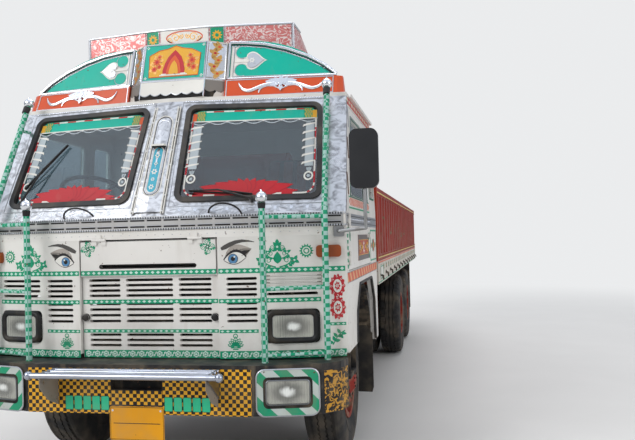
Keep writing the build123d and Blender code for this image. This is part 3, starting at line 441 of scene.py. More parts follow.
def box_depth(x, z):
    """The box between the crowns, with a chamfer at each side."""
    return nose + 0.432 + 0.130 * (z - 2.525) / 0.415 + max(0.0, abs(x) - 0.228) * 0.85


def roof_box_depth(x, z):
    """The front of the roof box, swept back beside its middle."""
    return nose + 0.712 + max(0.0, abs(x) - 0.188) * 0.1318


def bumper_depth(x, z=0.0):
    """The bumper: flat in the middle, then three straight stretches round the corner."""
    stops = ((0, -0.184), (0.714, -0.184), (1.090, -0.096), (1.190, 0.0), (1.216, 0.110))
    for (x0, y0), (x1, y1) in zip(stops, stops[1:]):
        if abs(x) <= x1:
            return nose + y0 + (y1 - y0) * (abs(x) - x0) / (x1 - x0)
    return nose + 0.110


def side_width(z):
    """Half width of the cab at a height: upright, then leaning in above the waist."""
    return cab_half + (roof_half - cab_half) * max(0.0, (z - 1.76) / 0.74)


def front_skin(depth, back=0.0):
    """A surface that faces forward, moved back by a distance if asked."""
    def lay(x, z, lift):
        step = 0.0005
        lean_x = (depth(x + step, z) - depth(x - step, z)) / (2 * step)
        lean_z = (depth(x, z + step) - depth(x, z - step)) / (2 * step)
        return Vector((x, depth(x, z) + back, z)) + Vector((lean_x, -1, lean_z)).normalized() * lift
    return lay


def side_skin(way, width=side_width):
    """A surface that faces left (way 1) or right (way -1). Its first place runs along the truck."""
    def lay(y, z, lift):
        step = 0.0005
        lean = (width(z + step) - width(z - step)) / (2 * step)
        return Vector((way * width(z), y, z)) + Vector((way, 0, -lean)).normalized() * lift
    return lay


panel_skin = front_skin(front_depth)
grille_skin = front_skin(front_depth, 0.025)
strip_skin = front_skin(front_depth, -0.006)
screen_skin = front_skin(screen_depth)
crown_skin = front_skin(crown_depth)
visor_skin = front_skin(visor_depth)
box_skin = front_skin(box_depth)
roof_box_skin = front_skin(roof_box_depth)
bumper_skin = front_skin(bumper_depth)
print("screen face at its lower inner corner", round(screen_depth(0.15, 1.8) - nose, 3))


# %% The trim maker
def signed_area(outline):
    """Positive where the outline runs counter-clockwise."""
    return sum(a[0] * b[1] - b[0] * a[1] for a, b in zip(outline, outline[1:] + outline[:1])) / 2


def clip(outline, cut, way):
    """The part of an outline on one side of an upright line."""
    kept = []
    for (u0, v0), (u1, v1) in zip(outline, outline[1:] + outline[:1]):
        inside, following = way * (u0 - cut) >= 0, way * (u1 - cut) >= 0
        if inside:
            kept.append((u0, v0))
        if inside != following:
            kept.append((cut, v0 + (v1 - v0) * (cut - u0) / (u1 - u0)))
    return kept


class Trim:
    """Plates, tapes, mouldings and rods on one body, gathered into one object."""

    def __init__(self, name, body="truck", slot=None):
        self.name, self.body, self.slot = name, body, slot
        self.points, self.faces, self.marks, self.finishes = [], [], [], []
        self.skin, self.cuts = None, ()

    def on(self, skin, cuts=()):
        """Chooses the surface for what comes next, and the upright lines at which it bends."""
        self.skin, self.cuts = skin, cuts
        return self

    def mark(self, finish, count):
        if finish not in self.finishes:
            self.finishes.append(finish)
        self.marks += [self.finishes.index(finish)] * count

    def sweep(self, rings, finish, closed=False):
        """A skin through matching rings of points, closed at its ends or on itself."""
        first, count = len(self.points), len(rings[0])
        for ring in rings:
            self.points += ring
        steps = len(rings) if closed else len(rings) - 1
        for r in range(steps):
            here, there = first + r * count, first + (r + 1) % len(rings) * count
            for k in range(count):
                after = (k + 1) % count
                self.faces.append([here + k, here + after, there + after, there + k])
        self.mark(finish, steps * count)
        if not closed:
            last = first + (len(rings) - 1) * count
            self.faces += [[first + k for k in reversed(range(count))], [last + k for k in range(count)]]
            self.mark(finish, 2)

    def plate(self, outline, finish, thick=0.0015, lift=0.0):
        """An outline as a thin plate, cut where the surface bends."""
        pieces = [outline]
        for cut in self.cuts:
            pieces = [part for piece in pieces for part in (clip(piece, cut, -1), clip(piece, cut, 1))
                      if len(part) > 2 and abs(signed_area(part)) > 1e-9]
        for piece in pieces:
            self.sweep([[self.skin(u, v, h) for u, v in piece] for h in (lift, lift + thick)], finish)

    def tape(self, line, width, finish, thick=0.0012, lift=0.0, closed=False):
        """A strip along a line with mitred corners; width is one number, or one for each point."""
        count = len(line)
        widths = width if isinstance(width, (list, tuple)) else [width] * count
        rings = []
        for k, (u, v) in enumerate(line):
            before = line[(k - 1) % count] if closed or k else line[k]
            after = line[(k + 1) % count] if closed or k < count - 1 else line[k]
            ways = [Vector((u - before[0], v - before[1])), Vector((after[0] - u, after[1] - v))]
            ways = [way.normalized() for way in ways if way.length > 1e-9]
            along = sum(ways, Vector((0, 0)))
            mitre = max(along.length / max(len(ways), 1), 0.6)
            su, sv = Vector((-along.y, along.x)).normalized() * (widths[k] / 2 / mitre)
            edges = ((u - su, v - sv, lift), (u + su, v + sv, lift),
                     (u + su, v + sv, lift + thick), (u - su, v - sv, lift + thick))
            rings.append([self.skin(*edge) for edge in edges])
        self.sweep(rings, finish, closed)

    def rod(self, points, radius, finish, sides=10, closed=False):
        """A round bar through points in space; radius is one number, or one for each point."""
        points = [Vector(p) for p in points]
        count = len(points)
        radii = radius if isinstance(radius, (list, tuple)) else [radius] * count
        rings, across = [], None
        for k, point in enumerate(points):
            before = points[(k - 1) % count] if closed or k else point
            after = points[(k + 1) % count] if closed or k < count - 1 else point
            along = (after - before).normalized()
            if across is None:
                across = along.orthogonal().normalized()
            across = (across - along * across.dot(along)).normalized()
            other = along.cross(across)
            rings.append([point + (across * math.cos(a) + other * math.sin(a)) * radii[k]
                          for a in (math.tau * n / sides for n in range(sides))])
        self.sweep(rings, finish, closed)

    def bead(self, line, radius, finish, sides=8, closed=False, lift=0.0):
        """A round bar along a line on the surface, half sunk in it."""
        self.rod([self.skin(u, v, lift) for u, v in line], radius, finish, sides, closed)

    def disc(self, at, radius, finish, thick=0.0010, lift=0.0):
        self.plate(circle(at, radius, 14), finish, thick, lift)

    def leaves(self, belly, at, size, turns, finish, thick=0.0012, lift=0.0, flip=1):
        """Pointed leaves that start at one place, one for each angle."""
        for turn in turns:
            self.plate(put(leaf(belly), at, size, turn, flip), finish, thick, lift)

    def blossom(self, petals, at, size, finish, thick=0.0012, lift=0.0, deep=0.4):
        self.plate(put(flower(petals, deep), at, size), finish, thick, lift)

    def rosette(self, at, size, petal, heart, leaves=(), leaf_finish=None, petals=6, lift=0.0):
        """A flower of one petal colour with a round heart, over leaves at the given angles."""
        self.leaves(0.3, at, size * 1.9, leaves, leaf_finish, 0.0008, lift)
        self.blossom(petals, at, size, petal, 0.0014, lift)
        self.disc(at, size * 0.34, heart, 0.0010, lift + 0.0014)

    def box(self, x, y, z, finish):
        self.sweep([[Vector((u, v, h)) for u, v in rectangle(x, y)] for h in z], finish)

    def slab(self, outline, front, back, finish):
        """An upright plate across the truck, between two places along it."""
        self.sweep([[Vector((u, y, v)) for u, v in outline] for y in (front, back)], finish)

    def done(self, smooth=35.0, replaced=()):
        """Makes the object, turns its faces outwards and seats it on its body."""
        mesh = bpy.data.meshes.new(self.name)
        mesh.from_pydata(self.points, [], self.faces)
        for finish in self.finishes:
            mesh.materials.append(finish)
        mesh.polygons.foreach_set("material_index", self.marks)
        shells = bmesh.new()
        shells.from_mesh(mesh)
        bmesh.ops.dissolve_degenerate(shells, dist=1e-7, edges=shells.edges)
        bmesh.ops.recalc_face_normals(shells, faces=shells.faces)
        shells.to_mesh(mesh)
        shells.free()
        return seat(linked(self.name, mesh), self.body, self.slot, smooth, replaced)


def seat(piece, body, slot=None, smooth=35.0, replaced=()):
    """Shades a finished piece's round parts smooth and lets it ride on its body."""
    if smooth:
        piece.data.shade_smooth()
        piece.data.set_sharp_from_angle(angle=math.radians(smooth))
    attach(piece, body)
    if replaced:
        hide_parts(*replaced)
    print(piece.name, "on", body, len(piece.data.polygons), "faces")
    return piece


# %% Outlines that the decoration is made of
def polar(radius, steps=48):
    """A closed outline from a rule that gives the radius at each angle."""
    angles = [math.tau * k / steps for k in range(steps)]
    return [(radius(a) * math.cos(a), radius(a) * math.sin(a)) for a in angles]


def flower(petals, deep=0.3, steps=None):
    return polar(lambda a: 1 - deep * (0.5 - 0.5 * math.cos(petals * a)), steps or petals * 6)


def star(points, inner):
    """Points at 1 from the middle, with notches at the inner distance."""
    angles = [math.pi * k / points for k in range(2 * points)]
    return [((1, inner)[k % 2] * math.cos(a), (1, inner)[k % 2] * math.sin(a)) for k, a in enumerate(angles)]


def heart(steps=28):
    """A heart that fills about one unit round its middle, point down."""
    found = []
    for k in range(steps):
        a = math.tau * k / steps
        up = 13 * math.cos(a) - 5 * math.cos(2 * a) - 2 * math.cos(3 * a) - math.cos(4 * a)
        found.append((math.sin(a) ** 3, up / 16))
    return found[::-1]


def leaf(belly=0.3, steps=8):
    """A pointed leaf from (0, 0) to (1, 0)."""
    upper = [(k / steps, belly * math.sin(math.pi * (k / steps) ** 0.8)) for k in range(steps + 1)]
    return [(u, -v) for u, v in upper] + upper[-2:0:-1]


def rounded(width, height, corner, steps=5, at=(0, 0)):
    """A rectangle with round corners."""
    found = []
    for cu, cv, start in ((1, 1, 0), (-1, 1, 90), (-1, -1, 180), (1, -1, 270)):
        for k in range(steps + 1):
            a = math.radians(start + 90 * k / steps)
            found.append((at[0] + (cu * (width / 2 - corner) + corner * math.cos(a)),
                          at[1] + (cv * (height / 2 - corner) + corner * math.sin(a))))
    return found


def spiral(turns=1.2, steps=16):
    """A curl that starts at (1, 0) and winds in to the middle."""
    found = []
    for k in range(steps + 1):
        reach, a = 1 - 0.85 * k / steps, math.tau * turns * k / steps
        found.append((reach * math.cos(a), reach * math.sin(a)))
    return found


def put(outline, at, size=1.0, turn=0.0, flip=1):
    """Turns an outline, sizes it and moves it to its place; flip -1 mirrors it left to right."""
    wide, tall = size if isinstance(size, tuple) else (size, size)
    c, s = math.cos(math.radians(turn)), math.sin(math.radians(turn))
    return [(at[0] + flip * (u * wide * c - v * tall * s), at[1] + u * wide * s + v * tall * c)
            for u, v in outline]


def circle(at, size, steps):
    return put(polar(lambda a: 1, steps), at, size)


def rectangle(u, v):
    return [(u[0], v[0]), (u[1], v[0]), (u[1], v[1]), (u[0], v[1])]


def mirrored(line, flip):
    """A line for the left side (flip 1) or the right side (flip -1)."""
    return [(flip * u, v) for u, v in line]


print("outlines: flower, star, heart, leaf, rounded, spiral, circle, rectangle")

# %% [markdown]
# ## Repeats
# Twisted edges, rivets and nuts come in rows. One Geometry Nodes tree walks a line at a given
# pitch and sets a small shape on each point, turned so that its Z axis stands off the surface and
# its X axis runs along the line. The result is made real and then plain, since an export drops
# instances. Copying in Python would work too, but the tree shows its sizes.


# %% The tree that repeats a shape along a line
def repeat_tree():
    """The tree, with a line, a shape, a pitch, a size and a finish as its inputs."""
    tree = bpy.data.node_groups.new("repeat_along_line", "GeometryNodeTree")
    for name, kind in (("Line", "Geometry"), ("Shape", "Object"), ("Pitch", "Float"), ("Size", "Float"),
                       ("Finish", "Material")):
        tree.interface.new_socket(name, in_out="INPUT", socket_type="NodeSocket" + kind)
    tree.interface.new_socket("Row", in_out="OUTPUT", socket_type="NodeSocketGeometry")

    def node(kind, settings=None, links=None):
        return add_node(tree, kind, settings, links)

    given = node("NodeGroupInput")
    curve = node("GeometryNodeMeshToCurve", links={"Mesh": given.outputs["Line"]})
    walked = node("GeometryNodeResampleCurve", {"mode": "LENGTH"},
                  {"Curve": curve.outputs[0], "Length": given.outputs["Pitch"]})
    outward = node("GeometryNodeInputNamedAttribute", {"data_type": "FLOAT_VECTOR"}, {"Name": "outward"})
    along = node("GeometryNodeInputTangent")
    stood = node("FunctionNodeAlignRotationToVector", {"axis": "Z"}, {"Vector": outward.outputs[0]})
    turned = node("FunctionNodeAlignRotationToVector", {"axis": "X", "pivot_axis": "Z"},
                  {"Rotation": stood.outputs[0], "Vector": along.outputs[0]})
    shape = node("GeometryNodeObjectInfo", links={"Object": given.outputs["Shape"]})
    placed = node("GeometryNodeInstanceOnPoints", links={
        "Points": walked.outputs[0], "Instance": shape.outputs["Geometry"],
        "Rotation": turned.outputs[0], "Scale": given.outputs["Size"]})
    real = node("GeometryNodeRealizeInstances", links={"Geometry": placed.outputs[0]})
    painted = node("GeometryNodeSetMaterial",
                   links={"Geometry": real.outputs[0], "Material": given.outputs["Finish"]})
    node("NodeGroupOutput", links={"Row": painted.outputs[0]})
    return tree


row_tree = repeat_tree()
shapes = {}


def stud(name, sides, shoulder, height, crown=None):
    """Makes a small shape for the rows: a foot 1 in radius, a shoulder, and a crowned or a flat top."""
    shell = bmesh.new()
    foot, rim = ([shell.verts.new((r * u, r * v, h)) for u, v in polar(lambda a: 1, sides)]
                 for r, h in ((1.0, 0.0), (shoulder, height)))
    top = shell.verts.new((0, 0, crown)) if crown else None
    for k in range(sides):
        n = (k + 1) % sides
        shell.faces.new((foot[k], foot[n], rim[n], rim[k]))
        if top:
            shell.faces.new((rim[k], rim[n], top))
    if not top:
        shell.faces.new(rim)
    shell.faces.new(foot[::-1])
    bmesh.ops.recalc_face_normals(shell, faces=shell.faces)
    mesh = bpy.data.meshes.new(name)
    shell.to_mesh(mesh)
    shell.free()
    shapes[name] = linked(name, mesh)


def row(name, lines, shape, pitch, size, finish, body="truck", slot=None, smooth=35.0):
    """Repeats a shape along lines of (point, outward) pairs, closed where they end as they began."""
    points, ways, edges = [], [], []
    for line in lines:
        closed = (line[0][0] - line[-1][0]).length < 1e-6
        first = len(points)
        used = line[:-1] if closed else line
        points += [p for p, _ in used]
        ways += [w for _, w in used]
        edges += [(first + k, first + k + 1) for k in range(len(used) - 1)]
        if closed:
            edges.append((first + len(used) - 1, first))
    mesh = bpy.data.meshes.new(name + "_line")
    mesh.from_pydata(points, edges, [])
    outward = mesh.attributes.new("outward", "FLOAT_VECTOR", "POINT")
    outward.data.foreach_set("vector", [c for w in ways for c in w])
    guide = linked(name + "_line", mesh)
    repeat = guide.modifiers.new("repeat", "NODES")
    repeat.node_group = row_tree
    wanted = {"Shape": shapes[shape], "Pitch": pitch, "Size": size, "Finish": finish}
    for socket in row_tree.interface.items_tree:
        if socket.in_out == "INPUT" and socket.name in wanted:
            repeat[socket.identifier] = wanted[socket.name]
    bpy.context.view_layer.update()
    plain = bpy.data.meshes.new_from_object(guide.evaluated_get(bpy.context.evaluated_depsgraph_get()))
    plain.name = name
    bpy.data.objects.remove(guide)
    return seat(linked(name, plain), body, slot, smooth)


def row_on(skin, line, lift=0.0):
    """A line on a surface, with the way off the surface at each point."""
    return [(skin(u, v, lift), (skin(u, v, lift + 0.01) - skin(u, v, lift)).normalized())
            for u, v in line]


stud("dome", 8, shoulder=0.8, height=0.55, crown=0.85)
stud("hexagon", 6, shoulder=1.0, height=0.7)
print("repeats ready:", ", ".join(shapes))

# %% [markdown]
# ## Painted and taped front
# The hatch and the panels beside it carry the art: green tapes with pale lozenges, a band of pale
# rings, two stylised eyes, lotuses and sprays of scrolls. All lie on the swept front, a few tenths
# of a millimetre to two millimetres proud, cut where the sheet bends. Each motif is an outline of
# its own, drawn by a rule, so that one function serves both sides and every size.


# %% Colours of the stickers and tapes
def ink(name, red, green, blue, gloss=0.34):
    """The flat colour of a sticker."""
    return weathered(name, tone(red, green, blue), gloss=gloss, dirt=0.24, chips=0.14, dent=0.001)


leaf_ink = ink("leaf_ink", 4, 148, 108)
dark_green = ink("dark_green_ink", 12, 92, 66)
pale_ink = ink("pale_ink", 198, 222, 212)
white_ink = ink("white_ink", 226, 224, 218)
black_ink = ink("black_ink", 28, 26, 28)
orange_ink = ink("orange_ink", 212, 88, 42)
yellow_ink = ink("yellow_ink", 226, 168, 50)
red_ink = ink("red_ink", 186, 34, 46)
teal_ink = ink("teal_ink", 0, 174, 152)
blue_ink = ink("blue_ink", 70, 168, 192)
grey_ink = ink("grey_ink", 128, 122, 116)
iris_ink = ink("iris_ink", 84, 134, 176, 0.2)
brow_ink = ink("brow_ink", 74, 72, 70, 0.5)
shade_ink = ink("shade_ink", 168, 160, 152, 0.5)
gold_ink = weathered("gold_foil", tone(196, 150, 84), gloss=0.28, dirt=0.3, chips=0.2, dent=0.003,
                     Metallic=0.6)
plate_yellow = ink("plate_yellow", 228, 156, 8)
chrome = metal("chrome", tone(222, 224, 228), gloss=0.07, wear=0.22, dent=0.0012)
silver_sheet = metal("silver_sheet", tone(186, 188, 192), gloss=0.24, wear=0.35, dent=0.0015, scale=60.0)
strip_sheet = weathered("strip_sheet", tone(180, 178, 176), gloss=0.36, dirt=0.3, chips=0.0, dent=0.002,
                        Metallic=0.5)
# A near-black ink: painted shade in slots, gaps and under ledges, and the rubber of the wiper blades.
painted_shade_and_wiper_black = ink("painted_shade_and_wiper_black", 12, 12, 14, 0.7)
print("inks and bright sheet are mixed")


# %% Printed tapes
def band_outline(start, end, height):
    """A band's outline, its unit direction, its length and its turn in degrees."""
    (u0, v0), (u1, v1) = start, end
    length = math.hypot(u1 - u0, v1 - v0)
    du, dv = (u1 - u0) / length, (v1 - v0) / length
    su, sv = dv * height / 2, -du * height / 2
    outline = [(u0 + su, v0 + sv), (u1 + su, v1 + sv), (u1 - su, v1 - sv), (u0 - su, v0 - sv)]
    return outline, (du, dv), length, math.degrees(math.atan2(dv, du))


def marked_tape(trim, start, end, height, pitch, base, mark, shape="lozenge"):
    """Printed tape: a band with one lozenge, chequer or ring at each pitch."""
    outline, (du, dv), length, turn = band_outline(start, end, height)
    trim.plate(outline, base, 0.0010)
    count = max(1, round(length / pitch))
    step = length / count

    def along(share):
        return start[0] + du * step * share, start[1] + dv * step * share

    def square(low, high, at):
        line = put(rectangle((-0.5, 0.5), (low, high)), at, (step * 0.5, height * 0.5), turn)
        trim.plate(line, mark, 0.0009, 0.0010)

    for k in range(count):
        at = along(k + 0.5)
        between = (at[0] + du * step * 0.5, at[1] + dv * step * 0.5)
        if shape == "lozenge":
            line = put([(1, 0), (0, 1), (-1, 0), (0, -1)], at, (step * 0.34, height * 0.32), turn)
            trim.plate(line, mark, 0.0009, 0.0010)
        elif shape == "chequer":
            square(-0.5, 0.5, at)
            if k < count - 1:
                square(-1, -0.5, between)
                square(0.5, 1, between)
        else:
            ring = put(polar(lambda a: 1 - 0.12 * math.cos(6 * a), 24), at, height * 0.40)
            trim.plate(ring, mark, 0.0009, 0.0010)
            trim.disc(at, height * 0.24, base, 0.0007, 0.0019)
            root = (at[0] - du * height * 0.2, at[1] - dv * height * 0.2)
            trim.leaves(0.36, root, height * 0.4, (turn,), mark, 0.0006, 0.0026)
            trim.leaves(0.3, between, height * 0.40, (turn + 60, turn + 240), mark, 0.0009, 0.0010)


print("tapes are printed with lozenges, chequers or rings")


# %% Lotus, scrolls, eye and sun
def lotus(trim, at, size, petal):
    """An open lotus seen from the side, over a short water line, with a round bud above."""
    foot = (at[0], at[1] - size * 0.34)
    petals = ((2, 0.92), (178, 0.92), (26, 0.90), (154, 0.90), (54, 0.92), (126, 0.92), (90, 0.98))
    for turn, reach in petals:
        trim.tape(put(leaf(0.27), foot, size * reach, turn), size * 0.075, petal, 0.0011, closed=True)
        trim.leaves(0.14, foot, size * reach * 0.72, (turn,), petal, 0.0010)
    trim.tape(circle((at[0], at[1] + size * 0.72), size * 0.24, 20), size * 0.10, petal, closed=True)
    for step, wide in ((0.46, 0.86), (0.66, 0.60), (0.84, 0.34)):
        trim.plate(put(rounded(2 * wide, 0.12, 0.05), (at[0], at[1] - size * step), size), petal, 0.0012)


def scroll_spray(trim, at, size, finish, flip=1, turn=0):
    """A stem that curls in at its end, with leaves on its back."""
    curl = [(u * 0.30 + 0.62, v * 0.30 + 0.10) for u, v in spiral(1.15, 16)]
    stem = [(0.92 * math.sin(1.6 * k / 7) ** 1.2, -0.32 + 0.42 * (k / 7) ** 2) for k in range(7)]
    line = put(stem + curl, at, size, turn, flip)
    widths = [size * (0.10 - 0.07 * k / len(line)) for k in range(len(line))]
    trim.tape(line, widths, finish, 0.0013)
    for joint, way in ((2, 66), (4, 44), (6, 24)):
        trim.leaves(0.3, line[joint], size * 0.36, (turn + way - 90,), finish, 0.0011, flip=flip)


def spray_pyramid(trim, at, wide, tall, scroll, heart):
    """A triangle of scrolls and rosettes in one colour, as stencilled beside the eyes."""
    for flip in (-1, 1):
        for level, (reach, size) in enumerate(((0.16, 0.34), (0.12, 0.26), (0.06, 0.18))):
            base = (at[0] + flip * wide * reach * 0.2, at[1] - tall * (0.46 - 0.30 * level))
            scroll_spray(trim, base, wide * size, scroll, flip, 8)
        outer = (at[0] + flip * wide * 0.42, at[1] - tall * 0.36)
        trim.rosette(outer, wide * 0.075, scroll, heart, (60, 150, 240, 330), scroll)
        inner = (at[0] + flip * wide * 0.24, at[1] - tall * 0.02)
        trim.rosette(inner, wide * 0.06, scroll, heart, (30, 150), scroll)
    trim.leaves(0.34, (at[0], at[1] - tall * 0.5), tall * 0.52, (90,), scroll, 0.0013)
    trim.rosette((at[0], at[1] + tall * 0.22), wide * 0.085, scroll, heart, (50, 130, 230, 310), scroll)
    trim.leaves(0.36, (at[0], at[1] + tall * 0.34), tall * 0.22, (90,), scroll, 0.0011)


def painted_eye(trim, flip):
    """A wide, calm eye: shadows, three lid shapes, an iris of three rings, a brow and lashes."""
    wide, tall = 0.066, 0.043
    at = (flip * 0.560, 1.447)
    shadows = ((0.30, -0.060, 0.018, 0.168, 14, shade_ink, 0.0005, 0.0),
               (0.24, 0.004, 0.016, 0.104, 24, grey_ink, 0.0005, 0.0005),
               (0.15, 0.012, 0.020, 0.088, 20, black_ink, 0.0007, 0.0010))
    for belly, out, up, size, turn, finish, thick, lift in shadows:
        shadow = put(leaf(belly, 12), (at[0] + flip * out, at[1] + up), size, turn, flip)
        trim.plate(shadow, finish, thick, lift)
    upper = [(-1 + 2 * k / 16, math.sin(math.pi * k / 16) ** 0.8) for k in range(17)]
    lower = [(1 - 2 * k / 16, -0.72 * math.sin(math.pi * k / 16)) for k in range(1, 16)]
    lids = [(u, v + 0.18 * u) for u, v in upper + lower]
    for up, grow_wide, grow_tall, finish, thick, lift in (
            (0.005, 1.09, 1.18, black_ink, 0.0007, 0.0006), (-0.003, 1.04, 1.02, brow_ink, 0.0008, 0.0006),
            (-0.001, 1.0, 0.94, white_ink, 0.0009, 0.0013)):
        lid = put(lids, (at[0], at[1] + up), (wide * grow_wide, tall * grow_tall), 0, flip)
        trim.plate(lid, finish, thick, lift)
    for radius, finish, lift in ((0.031, brow_ink, 0.0022), (0.0275, iris_ink, 0.0027),
                                 (0.0135, black_ink, 0.0033)):
        ring = [(u, max(-tall * 0.62, min(tall * 0.78, v))) for u, v in circle((0, 0), radius, 24)]
        trim.plate(put(ring, (at[0] - flip * 0.012, at[1])), finish, 0.0006, lift)
    trim.disc((at[0] - flip * 0.003, at[1] + 0.012), 0.0055, white_ink, 0.0006, 0.0039)
    brow = ((0.476, 1.507, 0.018), (0.500, 1.518, 0.027), (0.530, 1.533, 0.027), (0.565, 1.547, 0.023),
            (0.605, 1.554, 0.017), (0.645, 1.552, 0.010), (0.678, 1.546, 0.003))
    trim.tape([(flip * u, v) for u, v, _ in brow], [width for _, _, width in brow], brow_ink, 0.0014)
    for k, root in enumerate(put(lids[3:15:2], (at[0], at[1] + 0.003), (wide * 1.05, tall * 1.14), 0, flip)):
        tip = (root[0] + flip * (k - 1.6) * 0.0045, root[1] + 0.011)
        trim.tape([root, tip], [0.003, 0.0012], black_ink, 0.0012, 0.0006)


def sun(trim, at, size):
    """Rays round two rings, with a small flower in the middle."""
    trim.plate(put(star(14, 0.70), at, size), leaf_ink, 0.0012)
    trim.disc(at, size * 0.56, white_ink, 0.0010, 0.0012)
    trim.disc(at, size * 0.42, leaf_ink, 0.0010, 0.0022)
    trim.blossom(8, at, size * 0.30, white_ink, 0.0008, 0.0032, 0.45)


print("motifs: lotus, spray, eye, sun")

# %% Art of the hatch
top_band, ledge_band, sill_band, ring_band = 1.374, 1.194, 1.012, 0.871
tape_pitch, ring_pitch = 0.036, 0.060
hatch_edge = 0.444
hatch = Trim("hatch_art", "hatch").on(panel_skin, bends)
marked_tape(hatch, (-hatch_edge, top_band), (hatch_edge, top_band), 0.030, tape_pitch, leaf_ink, pale_ink)
hatch.on(grille_skin)
for z, height in ((ledge_band, 0.026), (sill_band, 0.021)):
    marked_tape(hatch, (-hatch_edge, z), (hatch_edge, z), height, tape_pitch, leaf_ink, pale_ink)
marked_tape(hatch, (-hatch_edge, ring_band), (hatch_edge, ring_band), 0.046, ring_pitch, leaf_ink, pale_ink,
            "ring")
hatch.on(panel_skin, bends)
for flip in (-1, 1):
    corner = (flip * 0.392, 1.524)
    for turn in (0, 90, 180, 270):
        scroll_spray(hatch, corner, 0.046, leaf_ink, flip, turn)
    hatch.rosette(corner, 0.016, dark_green, pale_ink)
    knob = [grille_skin(flip * 0.424, 1.097, lift) for lift in (0.002, 0.012, 0.019, 0.022)]
    hatch.rod(knob, [0.0245, 0.0245, 0.021, 0.014], black_ink, 22)
    hatch.tape([(flip * 0.4445, 1.362), (flip * 0.4445, 1.568)], 0.003, black_ink)
hatch.tape([(-0.446, 1.5695), (0.446, 1.5695)], 0.003, black_ink)
# A near-black ring round the slot under the name: painted shade that widens the slot's dark opening.
hatch.tape(rounded(0.628, 0.019, 0.009, at=(0, 1.413)), 0.0075, painted_shade_and_wiper_black, 0.0020, closed=True)
hatch.done()

# %% Art of the fixed panels at both sides
panel_inner, panel_outer = 0.456, 1.205
panels = Trim("panel_art").on(panel_skin, bends)
for flip in (-1, 1):
    painted_eye(panels, flip)
    for z, height, inner, outer, pitch, shape in (
            (top_band, 0.030, panel_inner, 1.208, tape_pitch, "lozenge"),
            (ledge_band, 0.026, panel_inner, 1.064, tape_pitch, "lozenge"),
            (sill_band, 0.020, panel_inner, 0.692, tape_pitch, "lozenge"),
            (ring_band, 0.046, panel_inner, panel_outer, ring_pitch, "ring"),
            (1.043, 0.018, 1.112, 1.206, 0.030, "lozenge")):
        marked_tape(panels, (flip * inner, z), (flip * outer, z), height, pitch, leaf_ink, pale_ink, shape)
    lotus(panels, (flip * 0.552, 0.947), 0.051, leaf_ink)
    sun(panels, (flip * 0.984, 1.485), 0.044)
    spray_pyramid(panels, (flip * 0.814, 1.482), 0.236, 0.140, leaf_ink, pale_ink)
    for z in (1.270, 1.140):
        at = (flip * 1.160, z)
        panels.blossom(13, at, (0.047, 0.073), red_ink, deep=0.16)
        panels.plate(circle(at, (0.025, 0.040), 20), white_ink, 0.0009, 0.0012)
        panels.blossom(7, at, (0.018, 0.028), red_ink, 0.0010, 0.0021, 0.34)
        panels.tape(put(spiral(1.6, 20), at, 0.011, 40), 0.0034, white_ink, 0.0008, 0.0031)
        for k, petal_at in enumerate(circle(at, (0.0345, 0.056), 8)):
            panels.tape(put(spiral(0.9, 8), petal_at, 0.0075, 45 * k), 0.0020, white_ink, 0.0007, 0.0012)
    stalk = mirrored(((1.126, 0.918), (1.150, 0.962), (1.176, 0.990), (1.198, 1.002)), flip)
    panels.tape(stalk, 0.006, leaf_ink)
    for u, v, way in ((1.138, 0.940, 110), (1.138, 0.940, 10), (1.152, 0.964, 130), (1.154, 0.966, 20),
                      (1.170, 0.985, 120), (1.174, 0.988, -10), (1.130, 0.928, 160), (1.166, 0.980, -50)):
        panels.leaves(0.28, (flip * u, v), 0.034, (way,), leaf_ink, 0.0010, flip=flip)
# A near-black plate sunk behind the gap above the bumper: painted shade in the gap.
for flip in (-1, 1):
    gap = rectangle((flip * panel_inner, flip * panel_outer), (0.834, 0.874))
    panels.plate(gap, painted_shade_and_wiper_black, 0.0030, -0.014)
# Grey outlines round the four rows of pockets: painted shade along their pressed edges.
for z in (1.2885, 1.309, 1.330, 1.351):
    panels.tape(rounded(0.338, 0.017, 0.0075, at=(0.902, z)), 0.0032, grey_ink, closed=True)
panels.done()
rivet_line = [(x, 1.604) for x in sorted({-1.19, 1.19, *bends})]
row("panel_rivets", [row_on(panel_skin, rivet_line)], "dome", 0.055, 0.0035, silver_sheet)
print("front painted")


# %% Chrome balls, collars and sleeves of the guard poles
def ball(trim, centre, radius, finish, rings=14, sides=22):
    """A ball as a rod whose radius follows a half circle."""
    angles = [math.pi * (0.03 + 0.94 * k / rings) for k in range(rings + 1)]
    points = [(centre[0], centre[1], centre[2] - radius * math.cos(a)) for a in angles]
    trim.rod(points, [radius * math.sin(a) for a in angles], finish, sides)


balls = Trim("pole_balls")
pole_x, pole_y = 0.757, nose - 0.084
for flip in (-1, 1):
    for x, y, z in ((pole_x, pole_y, 1.805), (1.070, nose + 0.453, 2.560)):
        ball(balls, (flip * x, y, z), 0.0355, chrome)
        balls.rod([(flip * x, y, z + 0.034), (flip * x, y, z + 0.046)], [0.007, 0.003], chrome, 12)
    for sleeve in (((pole_x, pole_y, 1.740), (pole_x, pole_y, 1.774)),
                   ((1.0735, nose + 0.405, 2.484), (1.0715, nose + 0.430, 2.524))):
        balls.rod([(flip * x, y, z) for x, y, z in sleeve], [0.0215, 0.025], black_ink, 18)
balls.done()

